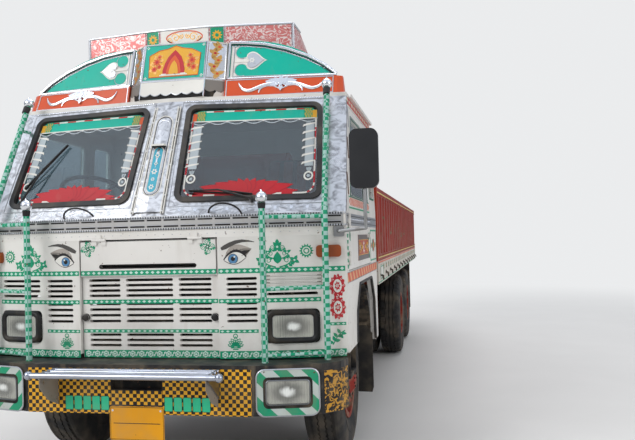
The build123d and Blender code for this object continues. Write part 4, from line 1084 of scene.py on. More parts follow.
# %% Waist strip: dull aluminium with long joints and twisted edges
waist = Trim("waist_strip_sheet").on(strip_skin, bends)
joint_pitch, joint_length = 0.109, 0.094
for flip in (-1, 1):
    waist.plate(rectangle((flip * 0.0005, flip * panel_outer), (1.632, 1.712)), strip_sheet, 0.0012)
    for z in (1.654, 1.692):
        for k in range(11):
            start = 0.008 + joint_pitch * k
            across = (flip * start, flip * (start + joint_length))
            waist.plate(rectangle(across, (z - 0.0048, z + 0.0048)), black_ink, 0.0007, 0.0012)
            waist.plate(rectangle(across, (z + 0.0058, z + 0.0092)), silver_sheet, 0.0016, 0.0012)
waist.done()
# A near-black band under the twisted edges: painted shade between the domes.
twist_bed = Trim("waist_twist_bed").on(strip_skin, bends)
twists = (("low", 1.637), ("top", 1.708))
for _, z in twists:
    twist_bed.plate(rectangle((-1.204, 1.204), (z - 0.0058, z + 0.0058)), painted_shade_and_wiper_black, 0.0016)
twist_bed.done()
for name, z in twists:
    twist_line = [(x, z) for x in sorted({-1.20, 1.20, *bends})]
    row(f"waist_twist_{name}", [row_on(strip_skin, twist_line, 0.0014)], "dome", 0.0165, 0.0066, silver_sheet)

# %% [markdown]
# ## Crown above the windscreens
# The crown is the truck's headdress: orange visors with chrome scrolls, two teal gables edged with
# bright beads and a spade, a box with an arched picture, and a scalloped valance. The picture is
# of own design, a domed pavilion and flowers in the same colours. The scrolls are rods whose
# radius swells and tapers along a smooth curve, since a flat cut-out would not catch the light.


# %% Visors with chrome scrolls
def smooth_line(points, between=4):
    """A curve through the given points, for scrolls."""
    found = []
    for k in range(len(points) - 1):
        near = [points[max(0, min(len(points) - 1, k + n))] for n in (-1, 0, 1, 2)]
        for step in range(between):
            t = step / between
            found.append(tuple(0.5 * (2 * b + (c - a) * t + (2 * a - 5 * b + 4 * c - d) * t * t
                                      + (3 * b - a - 3 * c + d) * t ** 3) for a, b, c, d in zip(*near)))
    return found + [points[-1]]


def horned_scroll(trim, at, size, finish, flip=1):
    """Two long horns that leave a bud, dip, and rise to a point, with curls on their backs."""
    horn = smooth_line([(0.12, 0.04), (0.28, 0.015), (0.44, -0.03), (0.60, -0.10), (0.74, -0.145),
                        (0.87, -0.11), (0.95, -0.03), (1.0, 0.07)])
    hook = smooth_line([(0.02, -0.12), (0.16, -0.05), (0.32, -0.03), (0.44, -0.075), (0.50, -0.14),
                        (0.51, -0.20)])
    for way in (-1, 1):
        side = flip * way
        for line, root, belly, tip in ((horn, 0.008, 0.0135, 0.002), (hook, 0.004, 0.0072, 0.0045)):
            last = len(line) - 1
            swell = [math.sin(math.pi * k / last) for k in range(last + 1)]
            radii = [root + (belly - root) * s if 2 * k < last else tip + (belly - tip) * s
                     for k, s in enumerate(swell)]
            trim.bead(put(line, at, size, 0, side), radii, finish, 10, lift=0.002)
        trim.leaves(0.26, (at[0] + side * size * 0.02, at[1]), size * 0.36, (12,), finish, 0.010, flip=side)
        trim.leaves(0.30, (at[0], at[1] - size * 0.02), size * 0.24, (48,), finish, 0.012, flip=side)
    for turn, reach in ((90, 0.23), (270, 0.16)):
        trim.leaves(0.32, (at[0], at[1] - size * 0.03), size * reach, (turn,), finish, 0.014)
    trim.disc((at[0], at[1] - size * 0.02), size * 0.045, finish, 0.018)


visors = Trim("visor_ornament").on(visor_skin)
visor_edge = [(0.362, 2.531), (1.088, 2.531), (1.085, 2.650), (0.362, 2.650)]
for flip in (-1, 1):
    horned_scroll(visors, (flip * 0.735, 2.607), 0.290, chrome, flip)
    visors.tape(mirrored(visor_edge, flip), 0.006, silver_sheet, 0.003, closed=True)
visors.done()

# %% Teal gables with lobes, a chrome spade and bright edges
crown_edge = [(1.105, 2.672), (1.02, 2.744), (0.90, 2.816), (0.75, 2.877), (0.60, 2.916), (0.45, 2.934),
              (0.358, 2.938)]
outer_edge = [(1.062, 2.675), (0.995, 2.732), (0.88, 2.795), (0.74, 2.852), (0.60, 2.890), (0.47, 2.908)]
lobed_edge = [(0.470, 2.905), (0.450, 2.850), (0.520, 2.795), (0.450, 2.740), (0.470, 2.6805)]
spade_z, gable_foot, gable_inner = 2.795, 2.662, 0.358
gable = Trim("crown_gables").on(crown_skin)
for flip in (-1, 1):
    gable.plate(mirrored([(0.372, 2.912), (0.372, 2.675), *outer_edge], flip), white_ink, 0.0014)
    gable.plate(mirrored(lobed_edge + outer_edge, flip), teal_ink, 0.0016, 0.0014)
    for z in (2.728, 2.862):
        gable.disc((flip * 0.448, z), 0.045, teal_ink, 0.0017, 0.0014)
        gable.bead(circle((flip * 0.448, z), 0.046, 18)[3:16], 0.0028, silver_sheet, 6, lift=0.003)
    for x, size, finish, thick, lift in ((0.540, (0.068, 0.080), white_ink, 0.0030, 0.0030),
                                         (0.538, (0.056, 0.066), silver_sheet, 0.0050, 0.0060)):
        gable.plate(put(heart(32), (flip * x, spade_z), size, 90, flip), finish, thick, lift)
    gable.rosette((flip * 0.520, spade_z), 0.020, white_ink, silver_sheet, lift=0.0110)
    stalk = rectangle((flip * 0.400, flip * 0.500), (spade_z - 0.008, spade_z + 0.008))
    gable.plate(stalk, white_ink, 0.0032, 0.0030)
    inner_edge = mirrored([(0.392, 2.906), (0.392, 2.680), *outer_edge], flip)
    gable.bead(inner_edge, 0.0040, silver_sheet, closed=True, lift=0.003)
    gable.bead(mirrored(crown_edge, flip), 0.0105, chrome, 10, lift=0.006)
    gable.bead([(flip * gable_inner, z) for z in (gable_foot, 2.936)], 0.0095, silver_sheet, 10, lift=0.008)
    gable.bead([(flip * x, gable_foot) for x in (gable_inner, 1.104)], 0.0085, chrome, 10, lift=0.008)
    shadow_line = [(u - 0.004, v - 0.016) for u, v in crown_edge]
    gable.tape(mirrored(shadow_line, flip), 0.008, black_ink, 0.0026)
gable.done()
bead_line = [(u, v - 0.026) for u, v in crown_edge[1:]]
row("gable_beads", [row_on(crown_skin, mirrored(bead_line, flip), 0.002) for flip in (-1, 1)],
    "dome", 0.021, 0.0055, silver_sheet)

# %% Picture box: a pavilion under an arch, and floral side panels
picture = Trim("crown_picture").on(box_skin)
face = rectangle((-0.221, 0.221), (2.664, 2.930))
picture.plate(face, teal_ink, 0.0020)
picture.bead(face, 0.0058, silver_sheet, 8, closed=True, lift=0.002)
arch = [(-0.178, 2.688), (0.178, 2.688), (0.186, 2.850), (0.120, 2.884), (0.052, 2.896), (0.0, 2.916),
        (-0.052, 2.896), (-0.120, 2.884), (-0.186, 2.850)]
picture.plate(arch, yellow_ink, 0.0018, 0.0020)
picture.bead(arch, 0.0030, orange_ink, 6, closed=True, lift=0.004)
dome_foot = 2.704
dome_right = [(0.078, dome_foot), (0.080, 2.735), (0.066, 2.790), (0.048, 2.832), (0.024, 2.860)]
dome_line = dome_right + [(0.0, 2.884)] + mirrored(dome_right[::-1], -1)
for wide, tall, finish, thick, lift in ((1.0, 1.0, red_ink, 0.0018, 0.0038),
                                        (0.66, 0.78, orange_ink, 0.0014, 0.0056),
                                        (0.42, 0.56, yellow_ink, 0.0012, 0.0070)):
    picture.plate([(u * wide, dome_foot + (v - dome_foot) * tall) for u, v in dome_line], finish, thick, lift)
for wide, z in ((0.100, 2.698), (0.088, 2.7055)):
    picture.plate(rectangle((-wide, wide), (z - 0.004, z + 0.004)), white_ink, 0.0022, 0.0038)
for flip in (-1, 1):
    for u, v, size in ((0.128, 2.800, 0.030), (0.142, 2.748, 0.024), (0.108, 2.764, 0.018),
                       (0.112, 2.838, 0.016)):
        picture.rosette((flip * u, v), size, orange_ink, red_ink, (20, 110, 200, 290), gold_ink, 8, 0.0038)
    for z in (2.912, 2.684):
        picture.rosette((flip * 0.203, z), 0.011, white_ink, teal_ink, petals=4, lift=0.0020)
    side = mirrored(((0.238, 2.668), (0.338, 2.668), (0.333, 2.924), (0.240, 2.928)), flip)
    picture.plate(side, silver_sheet, 0.0022)
    picture.bead(side, 0.0042, chrome, 6, closed=True, lift=0.002)
    for k in range(5):
        at = (flip * (0.284 + 0.010 * (-1) ** k), 2.700 + 0.050 * k)
        heart_ink = red_ink if k % 2 else orange_ink
        picture.rosette(at, 0.024, gold_ink, heart_ink, (30 + 20 * k, 150, 250), gold_ink, lift=0.0022)
picture.done()


# %% Scalloped valance under the box, and painted shadow in the gaps below it
def scallops(start, end, top, low, drop, count):
    """An outline with round teeth below and a straight top."""
    steps = count * 6
    below = [(start + (end - start) * k / steps, low - drop * abs(math.sin(math.pi * k / 6)))
             for k in range(steps + 1)]
    return below[::-1] + [(start, top), (end, top)]


valance = Trim("crown_valance").on(box_skin)
apron = scallops(-0.227, 0.227, 2.650, 2.566, 0.017, 6)
gap_foot = 2.527
valance.plate(apron[::-1], white_ink, 0.0040)
valance.bead(apron[:-2], 0.0032, silver_sheet, 6, lift=0.004)
valance.plate(rectangle((-0.226, 0.226), (gap_foot, 2.575)), painted_shade_and_wiper_black, 0.0012)
for flip in (-1, 1):
    valance.plate(scallops(flip * 0.234, flip * 0.345, 2.648, 2.580, 0.014, 2), grey_ink, 0.0030)
    valance.plate(rectangle((flip * 0.232, flip * 0.346), (gap_foot, 2.590)), painted_shade_and_wiper_black, 0.0012)
    valance.bead(mirrored([(0.229, 2.534), (0.229, 2.655), (0.2285, 2.932)], flip), 0.0052, chrome)
valance.bead([(x, 2.657) for x in (-0.342, -0.228, 0.228, 0.342)], 0.0060, chrome)
# A near-black band along the top of the screen surround: painted shadow under the valance.
valance.on(screen_skin).tape([(-0.345, 2.508), (0.345, 2.508)], 0.020, painted_shade_and_wiper_black, 0.0016)
valance.done()

# %% Front of the roof box: white panel with scrolls, green squares, pink foil
attic = Trim("roof_box_front").on(roof_box_skin)
box_top = 3.080


def edged_sheet(outline, finish, thick, bead):
    """A sheet on the roof box inside a bright bead."""
    attic.plate(outline, finish, thick)
    attic.bead(outline, bead, silver_sheet, 6, closed=True, lift=0.002)


edged_sheet(rectangle((-0.182, 0.182), (2.955, box_top)), white_ink, 0.0020, 0.0045)
attic.tape(circle((0, 3.020), (0.135, 0.046), 32), 0.008, orange_ink, 0.0016, 0.0020, closed=True)
for flip in (-1, 1):
    for u, v, size, turn in ((0.066, 3.020, 0.032, 20), (0.110, 3.010, 0.020, 200),
                             (0.026, 3.028, 0.018, 120)):
        attic.tape(put(spiral(1.3, 18), (flip * u, v), size, turn, flip), 0.0062, gold_ink, 0.0016, 0.0020)
    edged_sheet(rectangle((flip * 0.194, flip * 0.290), (2.958, box_top)), leaf_ink, 0.0020, 0.0038)
    attic.rosette((flip * 0.242, 3.020), 0.038, yellow_ink, leaf_ink, petals=10, lift=0.0020)
    foil = mirrored(((0.302, 2.905), (0.768, 2.865), (0.768, 3.078), (0.302, 3.078)), flip)
    edged_sheet(foil, made_finishes["box_pink"], 0.0024, 0.0042)
    attic.on(roof_box_skin, bends)
    for k, (u, v) in enumerate(((0.39, 2.99), (0.53, 2.97), (0.67, 2.98))):
        for turn in (10, 130, 250):
            scroll_spray(attic, (flip * u, v), 0.085, silver_sheet, flip, turn + 40 * k)
    attic.on(roof_box_skin)
    attic.rod([(flip * 0.7805, nose + 0.792, z) for z in (2.60, 3.082)], 0.0085, silver_sheet)
    attic.rod([(flip * 0.781, nose + y, 3.0825) for y in (0.795, 1.02)], 0.0085, silver_sheet)
attic.bead([(x, 3.0825) for x in (-0.772, -0.188, 0.188, 0.772)], 0.0085, silver_sheet, 10)
attic.done()
print("crown dressed")

# %% [markdown]
# ## Windscreens
# Bands of film hang inside the top edge of each pane, with a white scalloped hem. White ladders
# with flowers run down beside them and red petals lie along the bottom. All of it sits on the
# outer face of the panes, since the glass is the only carrier there. Wipers rest low on the panes.
# A pane leans and its sides aren't parallel, so places on it are given as shares of its width.

# %% The panes' own surface
pane_foot, pane_rise, pane_width, pane_height = 1.8, 0.666, 0.862, 0.598
low_inner = Vector((0.150, nose + 0.062, pane_foot))
low_outer = Vector((1.068, nose + 0.179, pane_foot))
top_inner = Vector((0.128, nose + 0.411, pane_foot + pane_rise))
pane_out = (top_inner - low_inner).cross((low_outer - low_inner).normalized()).normalized()
if pane_out.y > 0:
    pane_out = -pane_out
glass_depth = 0.0088


def glass_skin(x, z, lift):
    """The outer face of a pane, a little behind its frame."""
    side = 1 if x > 0 else -1
    point = Vector((abs(x), screen_depth(x, z), z)) + pane_out * (lift - glass_depth)
    return Vector((side * point.x, point.y, point.z))


def pane_edge(share, z):
    """Place across a pane, 0 at its inner and 1 at its outer edge of glass."""
    rise = (z - pane_foot) / pane_rise
    inner = 0.150 - 0.022 * rise + 0.040
    outer = 1.068 - 0.030 * rise - 0.040
    return inner + (outer - inner) * share


def pane_ring(inset, steps=6):
    """A path round a pane, inside its rubber, as places across and heights."""
    ring = rounded(pane_width - 2 * inset, pane_height - 2 * inset, 0.062, steps)
    return [(0.5 + u / pane_width, 2.133 + v) for u, v in ring]


print("panes lean back by", round(math.degrees(math.asin(pane_out.z)), 1), "degrees")

# %% Film, ladders and petals
film_grey = ink("film_grey", 176, 186, 192)
wine_ink = ink("wine_ink", 150, 24, 44)
film_foot, hem, ladder_foot, scallop_count = 2.352, 2.348, 2.020, 7
screens = Trim("screen_stickers").on(glass_skin)
for flip in (-1, 1):
    def on_pane(line, side=flip):
        return [(side * pane_edge(share, z), z) for share, z in line]

    top = [(share, z) for share, z in pane_ring(0.004) if z > film_foot]
    screens.plate(on_pane([(1.0, film_foot), *top, (0.0, film_foot)]), teal_ink, 0.0008)
    for share, wide, patch_top, shade in (
            (0.075, 0.070, 2.424, leaf_ink), (0.925, 0.070, 2.424, leaf_ink),
            (0.026, 0.036, 2.408, orange_ink), (0.974, 0.036, 2.408, yellow_ink)):
        patch = rectangle((share - wide / 2, share + wide / 2), (film_foot + 0.002, patch_top))
        screens.plate(on_pane(patch), shade, 0.0006, 0.0008)
    for share in (0.055, 0.075, 0.095, 0.905, 0.925, 0.945):
        wave = [(share + 0.008 * math.sin(k * 1.3), 2.357 + 0.0064 * k) for k in range(11)]
        screens.tape(on_pane(wave), 0.0045, yellow_ink, 0.0006, 0.0014)
    screens.tape(on_pane([(0.0, 2.350), (1.0, 2.350)]), 0.007, white_ink, 0.0009)
    for k in range(scallop_count):
        start = k / scallop_count
        arc = [(start + n / 8 / scallop_count, 2.347 - 0.021 * math.sin(math.pi * n / 8)) for n in range(9)]
        screens.tape(on_pane(arc), 0.0065, film_grey, 0.0008)
        screens.tape(on_pane([(start, hem), (start, hem - 0.010)]), [0.010, 0.003], white_ink, 0.0009)
    for share in (0.058, 0.942):
        strip = rectangle((share - 0.032, share + 0.032), (2.318, ladder_foot))
        screens.plate(on_pane(strip), film_grey, 0.0006)
        for k in range(6):
            z = ladder_foot + 0.026 + 0.052 * k
            bar = [(share - 0.056, z - 0.016), (share - 0.046, z - 0.005), (share, z + 0.003),
                   (share + 0.045, z + 0.009)]
            screens.tape(on_pane(bar), [0.005, 0.013, 0.012, 0.008], white_ink, 0.0009, 0.0006)
        at = (flip * pane_edge(share, 1.955), 1.955)
        screens.tape(circle(at, 0.025, 22), 0.010, white_ink, 0.0009, closed=True)
        screens.plate(put(star(6, 0.45), at, 0.016), film_grey, 0.0008)
        screens.leaves(0.25, (at[0], at[1] + 0.030), 0.030, (60, 90, 120), film_grey, 0.0008)
    petals = ((3, 0.33, 0.10), (11, 0.30, 0.13), (22, 0.215, 0.18), (38, 0.150, 0.24), (62, 0.118, 0.30))
    fan = [(turn, size, belly) for low, size, belly in petals for turn in (low, 180 - low)]
    for rank, (turn, size, belly) in enumerate([*fan, (90, 0.106, 0.34)]):
        lift = 0.00022 * rank
        petal = put(leaf(belly), (flip * pane_edge(0.48, 1.848), 1.846), size, turn)
        screens.plate(petal, red_ink, 0.0005, lift)
        screens.tape(petal[:8], 0.0028, wine_ink, 0.0005, lift + 0.0003)
    path = on_pane(pane_ring(0.012, 5))
    for k, (start, end) in enumerate(zip(path, path[1:] + path[:1])):
        count = max(1, round(math.dist(start, end) / 0.070))
        for n in range(count):
            dash = [tuple(a + (b - a) * share / count for a, b in zip(start, end)) for share in (n, n + 1)]
            screens.tape(dash, 0.010, (white_ink, red_ink)[(k + n) % 2], 0.0007, 0.0002)
screens.done()

# %% Wipers
wipers = Trim("wipers").on(screen_skin)
for pivot, tip, low_end, high_end in (
        ((-0.952, 1.822), (-0.845, 2.060), (-0.968, 1.930), (-0.720, 2.235)),
        ((0.640, 1.800), (0.420, 1.862), (0.640, 1.838), (0.240, 1.868))):
    wipers.rod([screen_skin(*pivot, lift) for lift in (0.0, 0.034)], 0.014, black_ink, 12)
    wipers.bead([pivot, tip], [0.008, 0.0055], black_ink, 8, lift=0.030)
    bow = [screen_skin(*low_end, 0.012), screen_skin(*tip, 0.026), screen_skin(*high_end, 0.012)]
    wipers.rod(bow, [0.004, 0.006, 0.004], black_ink, 6)
    wipers.bead([low_end, high_end], 0.0055, painted_shade_and_wiper_black, 6, lift=0.004)
wipers.done()

# %% Centre post: riveted white cladding, a raised arch and a blue oval
post_skin = front_skin(screen_depth, -0.0136)
post = Trim("centre_post_trim").on(post_skin)


def stadium(low, high, wide):
    """A long outline with round ends."""
    angles = [math.pi * k / 12 for k in range(13)]
    upper = [(wide * math.cos(a), high - wide + wide * math.sin(a)) for a in angles]
    return upper + [(-u, low + high - v) for u, v in upper]


post.bead(stadium(1.846, 2.392, 0.058), 0.0042, white_ink, 8, closed=True)
post.tape(stadium(1.852, 2.386, 0.050), 0.004, black_ink, closed=True)
post.plate(stadium(1.872, 2.168, 0.028), blue_ink, 0.0014)
post.tape(stadium(1.866, 2.174, 0.034), 0.005, white_ink, 0.0026, closed=True)
post.bead(stadium(1.862, 2.362, 0.040), 0.0028, silver_sheet, 6, closed=True)
for z, size in ((1.905, 0.018), (1.955, 0.013), (2.005, 0.020), (2.060, 0.013), (2.115, 0.018)):
    post.rosette((0, z), size, white_ink, blue_ink, lift=0.0014)
for z, turn in ((2.250, 90), (2.290, 60), (2.290, 120), (2.315, 90)):
    post.leaves(0.28, (0, z), 0.046, (turn,), silver_sheet)
# A near-black line between each pair of edge beads: painted shade between them.
for flip in (-1, 1):
    post.tape([(flip * 0.098, 1.735), (flip * 0.082, 2.460)], 0.005, painted_shade_and_wiper_black)
    for low_x, high_x, radius in ((0.091, 0.0745, 0.0052), (0.105, 0.089, 0.0046)):
        post.bead([(flip * low_x, 1.735), (flip * high_x, 2.460)], radius, white_ink)
ledge = post_skin(0, 2.176, 0.0).y
post.box((-0.046, 0.046), (ledge - 0.034, ledge + 0.004), (2.178, 2.190), white_ink)
# A near-black box under the ledge: painted shade beneath it.
post.box((-0.042, 0.042), (ledge - 0.026, ledge + 0.004), (2.170, 2.178), painted_shade_and_wiper_black)
post.done()
rivet_line = [(0.098, 1.75), (0.082, 2.45)]
row("post_rivets", [row_on(post_skin, mirrored(rivet_line, flip), 0.0012) for flip in (-1, 1)],
    "dome", 0.110, 0.0052, silver_sheet)

# %% Embossed cladding under the panes, arch handles and the trim round each pane
cladding = Trim("screen_surround_trim").on(screen_skin)
emboss_z = 1.752
for flip in (-1, 1):
    wavy = [(0.14 + 0.90 * k / 40, emboss_z + 0.008 * math.sin(k * 0.9)) for k in range(41)]
    cladding.tape(mirrored(wavy, flip), 0.006, silver_sheet, 0.0025)
    for k in range(9):
        at = (flip * (0.20 + 0.098 * k), emboss_z)
        cladding.leaves(0.28, at, 0.036, (35, 145, 215, 325), silver_sheet, 0.0020)
        cladding.blossom(6, at, 0.012, chrome, 0.0030, deep=0.35)
    ring = [(pane_edge(-0.075, 1.775), 1.775), (pane_edge(1.075, 1.775), 1.775),
            (pane_edge(1.085, 2.490), 2.486), (pane_edge(-0.085, 2.490), 2.490)]
    cladding.bead(mirrored(ring, flip), 0.0042, silver_sheet, 8, closed=True)
    handle = []
    for k in range(17):
        a = math.pi * k / 16
        handle.append((flip * (0.484 + 0.105 * math.cos(a)), nose + 0.070 - 0.055 * math.sin(a),
                       1.716 + 0.068 * math.sin(a)))
    cladding.rod(handle, 0.006, black_ink, 8)
cladding.done()
rope_line = [(pane_edge(-0.06, 2.497), 2.4955), (pane_edge(1.07, 2.497), 2.492)]
row("screen_rope", [row_on(screen_skin, mirrored(rope_line, flip), 0.002) for flip in (-1, 1)],
    "dome", 0.016, 0.0062, chrome)
print("windscreens dressed")

# %% [markdown]
# ## Bumper
# A chequered sheet with a row of teal blocks covers the middle of the bumper, over a plain yellow
# number plate. The lamps have rounded frames in striped tape. The patterns follow Object
# coordinates, so both sheets line up across the truck without a picture of any kind.

# %% Chequers as a procedural pattern, in squares of 22.5 mm
def chequers(finish):
    """Yellow and black squares across the bumper; both axes share one size."""
    square = 0.0225
    across = ((finish.x + 9.0) / square).maths("FLOOR")
    up = ((finish.z + 0.003) / square).maths("FLOOR")
    return finish.mix(((across + up) % 2.0) > 0.5, tone(26, 22, 20), tone(230, 168, 34))


def striped(finish):
    """Slanted green and silver stripes."""
    slant = ((finish.x.maths("ABSOLUTE") + finish.z) * 6.4) % 1.0
    return finish.mix(slant > 0.5, tone(186, 196, 192), leaf_green)


def print_pattern(finish):
    """Dark print with ochre patches."""
    cells = finish.noise(34.0, 1.5, warp=1.4)
    return finish.mix(cells.ramp(0.50, 0.53), tone(34, 28, 26), tone(206, 150, 48))


chequered = weathered("chequer_sheet", chequers, gloss=0.36, dirt=0.22, chips=0.25, dent=0.003)
striped_tape = weathered("striped_tape", striped, gloss=0.34, dirt=0.3, chips=0.15, dent=0.002)
mint_ink = ink("mint_ink", 48, 190, 142)
print_sheet = weathered("corner_print", print_pattern, gloss=0.4, dirt=0.35, chips=0.15, dent=0.002)
lamp_ring = metal("lamp_ring", tone(120, 122, 124), gloss=0.2, wear=0.2)
gusset_paint = weathered("gusset_paint", tone(140, 132, 122), gloss=0.5, dirt=0.5, chips=0.3, dent=0.002)
print("bumper sheets are printed")


# %% Bumper sheets, lamp frames, number plate and gussets
def lamp_skin(flip, centre, slope, proud):
    """A flat face that is turned with the sweep of the front, measured from a lamp's centre."""
    along = Vector((1, slope, 0)).normalized()
    out = Vector((slope, -1, 0)).normalized()

    def lay(u, v, lift):
        point = centre + along * u + Vector((0, 0, v)) + out * (proud + lift)
        return Vector((flip * point.x, point.y, point.z))
    return lay


low_slope = (0.184 - 0.096) / (1.090 - 0.714)
low_lamp = Vector((0.902, nose - 0.184 + low_slope * (0.902 - 0.714), 0.688))
head_slope = (front_depth(0.898) - front_depth(0.894)) / 0.004
head_lamp = Vector((0.896, front_depth(0.896), 1.037))
sheet_foot, sheet_top = 0.553, 0.820
bumper = Trim("bumper_art")
for flip in (-1, 1):
    bumper.on(bumper_skin)
    middle = (flip * 0.002, flip * 0.1605)
    for across, up in (((flip * 0.164, flip * 0.700), (sheet_foot, sheet_top)), (middle, (0.608, 0.690)),
                       (middle, (0.754, sheet_top)), (middle, (sheet_foot, 0.5995))):
        bumper.plate(rectangle(across, up), chequered, 0.0016)
    for k in range(5):
        block = rounded(0.050, 0.082, 0.006, 3, at=(flip * (0.199 + 0.0575 * k), 0.615))
        bumper.plate(block, mint_ink, 0.0016, 0.0016)
        bumper.bead(block, 0.0016, dark_green, 5, closed=True, lift=0.003)
    bumper.on(lamp_skin(flip, low_lamp, low_slope, 0.014))
    outer, inner = rounded(0.356, 0.262, 0.046), rounded(0.282, 0.178, 0.030)
    throat = rounded(0.250, 0.138, 0.022)
    # Striped frame round each low lamp, and inside it a near-black ring: painted shade in the gap round the
    # lamp.
    for k in range(len(outer)):
        n = (k + 1) % len(outer)
        bumper.plate([outer[k], outer[n], inner[n], inner[k]], striped_tape, 0.0016)
        bumper.plate([inner[k], inner[n], throat[n], throat[k]], painted_shade_and_wiper_black, 0.0012)
    bumper.bead(rounded(0.358, 0.264, 0.048), 0.0045, silver_sheet, 6, closed=True)
    bumper.bead(throat, 0.0040, lamp_ring, 6, closed=True)
    bumper.on(bumper_skin, (-1.190, -1.150, 1.150, 1.190))
    bumper.plate(rectangle((flip * 1.104, flip * 1.212), (0.560, 0.800)), print_sheet, 0.0016)
plate_z, plate_y = 0.4995, nose - 0.1862
bumper.slab(rounded(0.340, 0.198, 0.014, at=(0, plate_z)), plate_y, plate_y - 0.0030, plate_yellow)
plate_rim = [(u, plate_y - 0.0026, v) for u, v in rounded(0.330, 0.188, 0.010, at=(0, plate_z))]
bumper.rod(plate_rim, 0.0016, black_ink, 6, closed=True)
# A dark line across the plate's middle: a painted reflection.
bumper.rod([(u, plate_y - 0.0033, plate_z) for u in (-0.145, 0.145)], 0.0022, black_ink, 6)
# A near-black sheet set back in the bumper's middle gap: painted shade.
bumper.slab(rectangle((-0.160, 0.160), (0.690, 0.755)), nose - 0.150, nose - 0.146, painted_shade_and_wiper_black)
bumper.on(bumper_skin)
gusset = [(-0.188, 0.603), (-0.188, 0.795), (-0.383, 0.795), (-0.383, 0.740), (-0.300, 0.655)]
for flip in (-1, 1):
    faces = [[Vector((flip * x, nose + y, z)) for y, z in gusset] for x in (0.4985, 0.5015)]
    bumper.sweep(faces, gusset_paint)
    for y, z in ((-0.215, 0.765), (-0.345, 0.765), (-0.215, 0.640)):
        bumper.rod([(flip * x, nose + y, z) for x in (0.496, 0.4985)], 0.009, silver_sheet, 6)
    bumper.disc((flip * 0.150, 0.575), 0.006, chrome, 0.0030, 0.0050)
bumper.done()

# %% Rounded rubber bezels of the headlamps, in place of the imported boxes
bezels = Trim("headlamp_bezel_rims")
bezel_section = ((0.0, -0.075), (0.0, 0.008), (0.004, 0.016), (0.012, 0.0215), (0.024, 0.0215),
                 (0.034, 0.015), (0.040, 0.009), (0.042, -0.060))
for flip in (-1, 1):
    face = lamp_skin(flip, head_lamp, head_slope, 0.0)
    rims = [rounded(0.326 - 2 * inset, 0.204 - 2 * inset * 0.88, 0.056 - inset * 0.86, 6)
            for inset, _ in bezel_section]
    rings = [[face(*rim[k], lift) for rim, (_, lift) in zip(rims, bezel_section)]
             for k in range(len(rims[0]))]
    bezels.sweep(rings, made_finishes["lamp_black"], closed=True)
    bezels.on(face).bead(rounded(0.246, 0.134, 0.022), 0.0024, lamp_ring, 6, closed=True, lift=0.0085)
bezels.done(smooth=50, replaced=["headlamp_bezels"])
print("bumper dressed")

# %% [markdown]
# ## Wheels
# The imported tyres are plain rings. Treaded ones replace them, turned on the same axles and no
# wider or taller: rows of ribs in front for steering, and lugs with cross grooves on the driven
# twins behind. Each tyre is one profile swept round its axle, and only the tread's radius varies.

# %% Tyre profile and sweep
tyre_rubber, spring_steel = made_finishes["tyre_rubber"], made_finishes["spring_steel"]
tyre_radius, bead_radius, groove = 0.5245, 0.2585, 0.013


def tread_profile(lug, wander):
    """Half of the tread as (distance from its middle plane, radius), its edges shifted sideways."""
    low = tyre_radius - groove
    if lug:
        return [(0.000, low), (0.006, low), (0.0065, tyre_radius), (0.044 + wander, tyre_radius - 0.001),
                (0.0445 + wander, low), (0.054 + wander, low - 0.001), (0.0545 + wander, tyre_radius - 0.002)]
    return [(0.000, tyre_radius), (0.020 + wander, tyre_radius), (0.0205 + wander, low),
            (0.030 + wander, low), (0.0305 + wander, tyre_radius - 0.001),
            (0.062 + wander, tyre_radius - 0.002), (0.0625 + wander, low), (0.070 + wander, low)]


def tyre_rings(centre, lug, cut_depth=0.012, pitches=36, wander=0.005):
    """Sections all round a tyre; at each pitch the tread steps sideways, and a lug tyre is cut across."""
    rings = []
    shares = (0.0, 0.60, 0.66, 0.94) if lug else (0.0, 0.25, 0.5, 0.75)
    for k in range(pitches):
        for n, share in enumerate(shares):
            angle = math.tau * (k + share) / pitches
            cut = cut_depth if lug and n >= 2 else 0.0
            odd = k % 2 if lug else n % 2
            half = tread_profile(lug, wander if odd else -wander)
            half += [(0.088, tyre_radius - 0.006 - cut), (0.104, tyre_radius - 0.013 - cut),
                     (0.1165, 0.494 - cut * 0.5), (0.127, 0.470), (0.1305, 0.4605), (0.1335, 0.430),
                     (0.1362, 0.400), (0.1348, 0.372), (0.1375, 0.368), (0.1345, 0.362), (0.130, 0.335),
                     (0.121, 0.300), (0.112, 0.2745), (0.097, bead_radius)]
            profile = half + [(-x, r) for x, r in reversed(half[1:])]
            c, s = math.cos(angle), math.sin(angle)
            rings.append([Vector((centre.x + x, centre.y + r * c, centre.z + r * s)) for x, r in profile])
    return rings


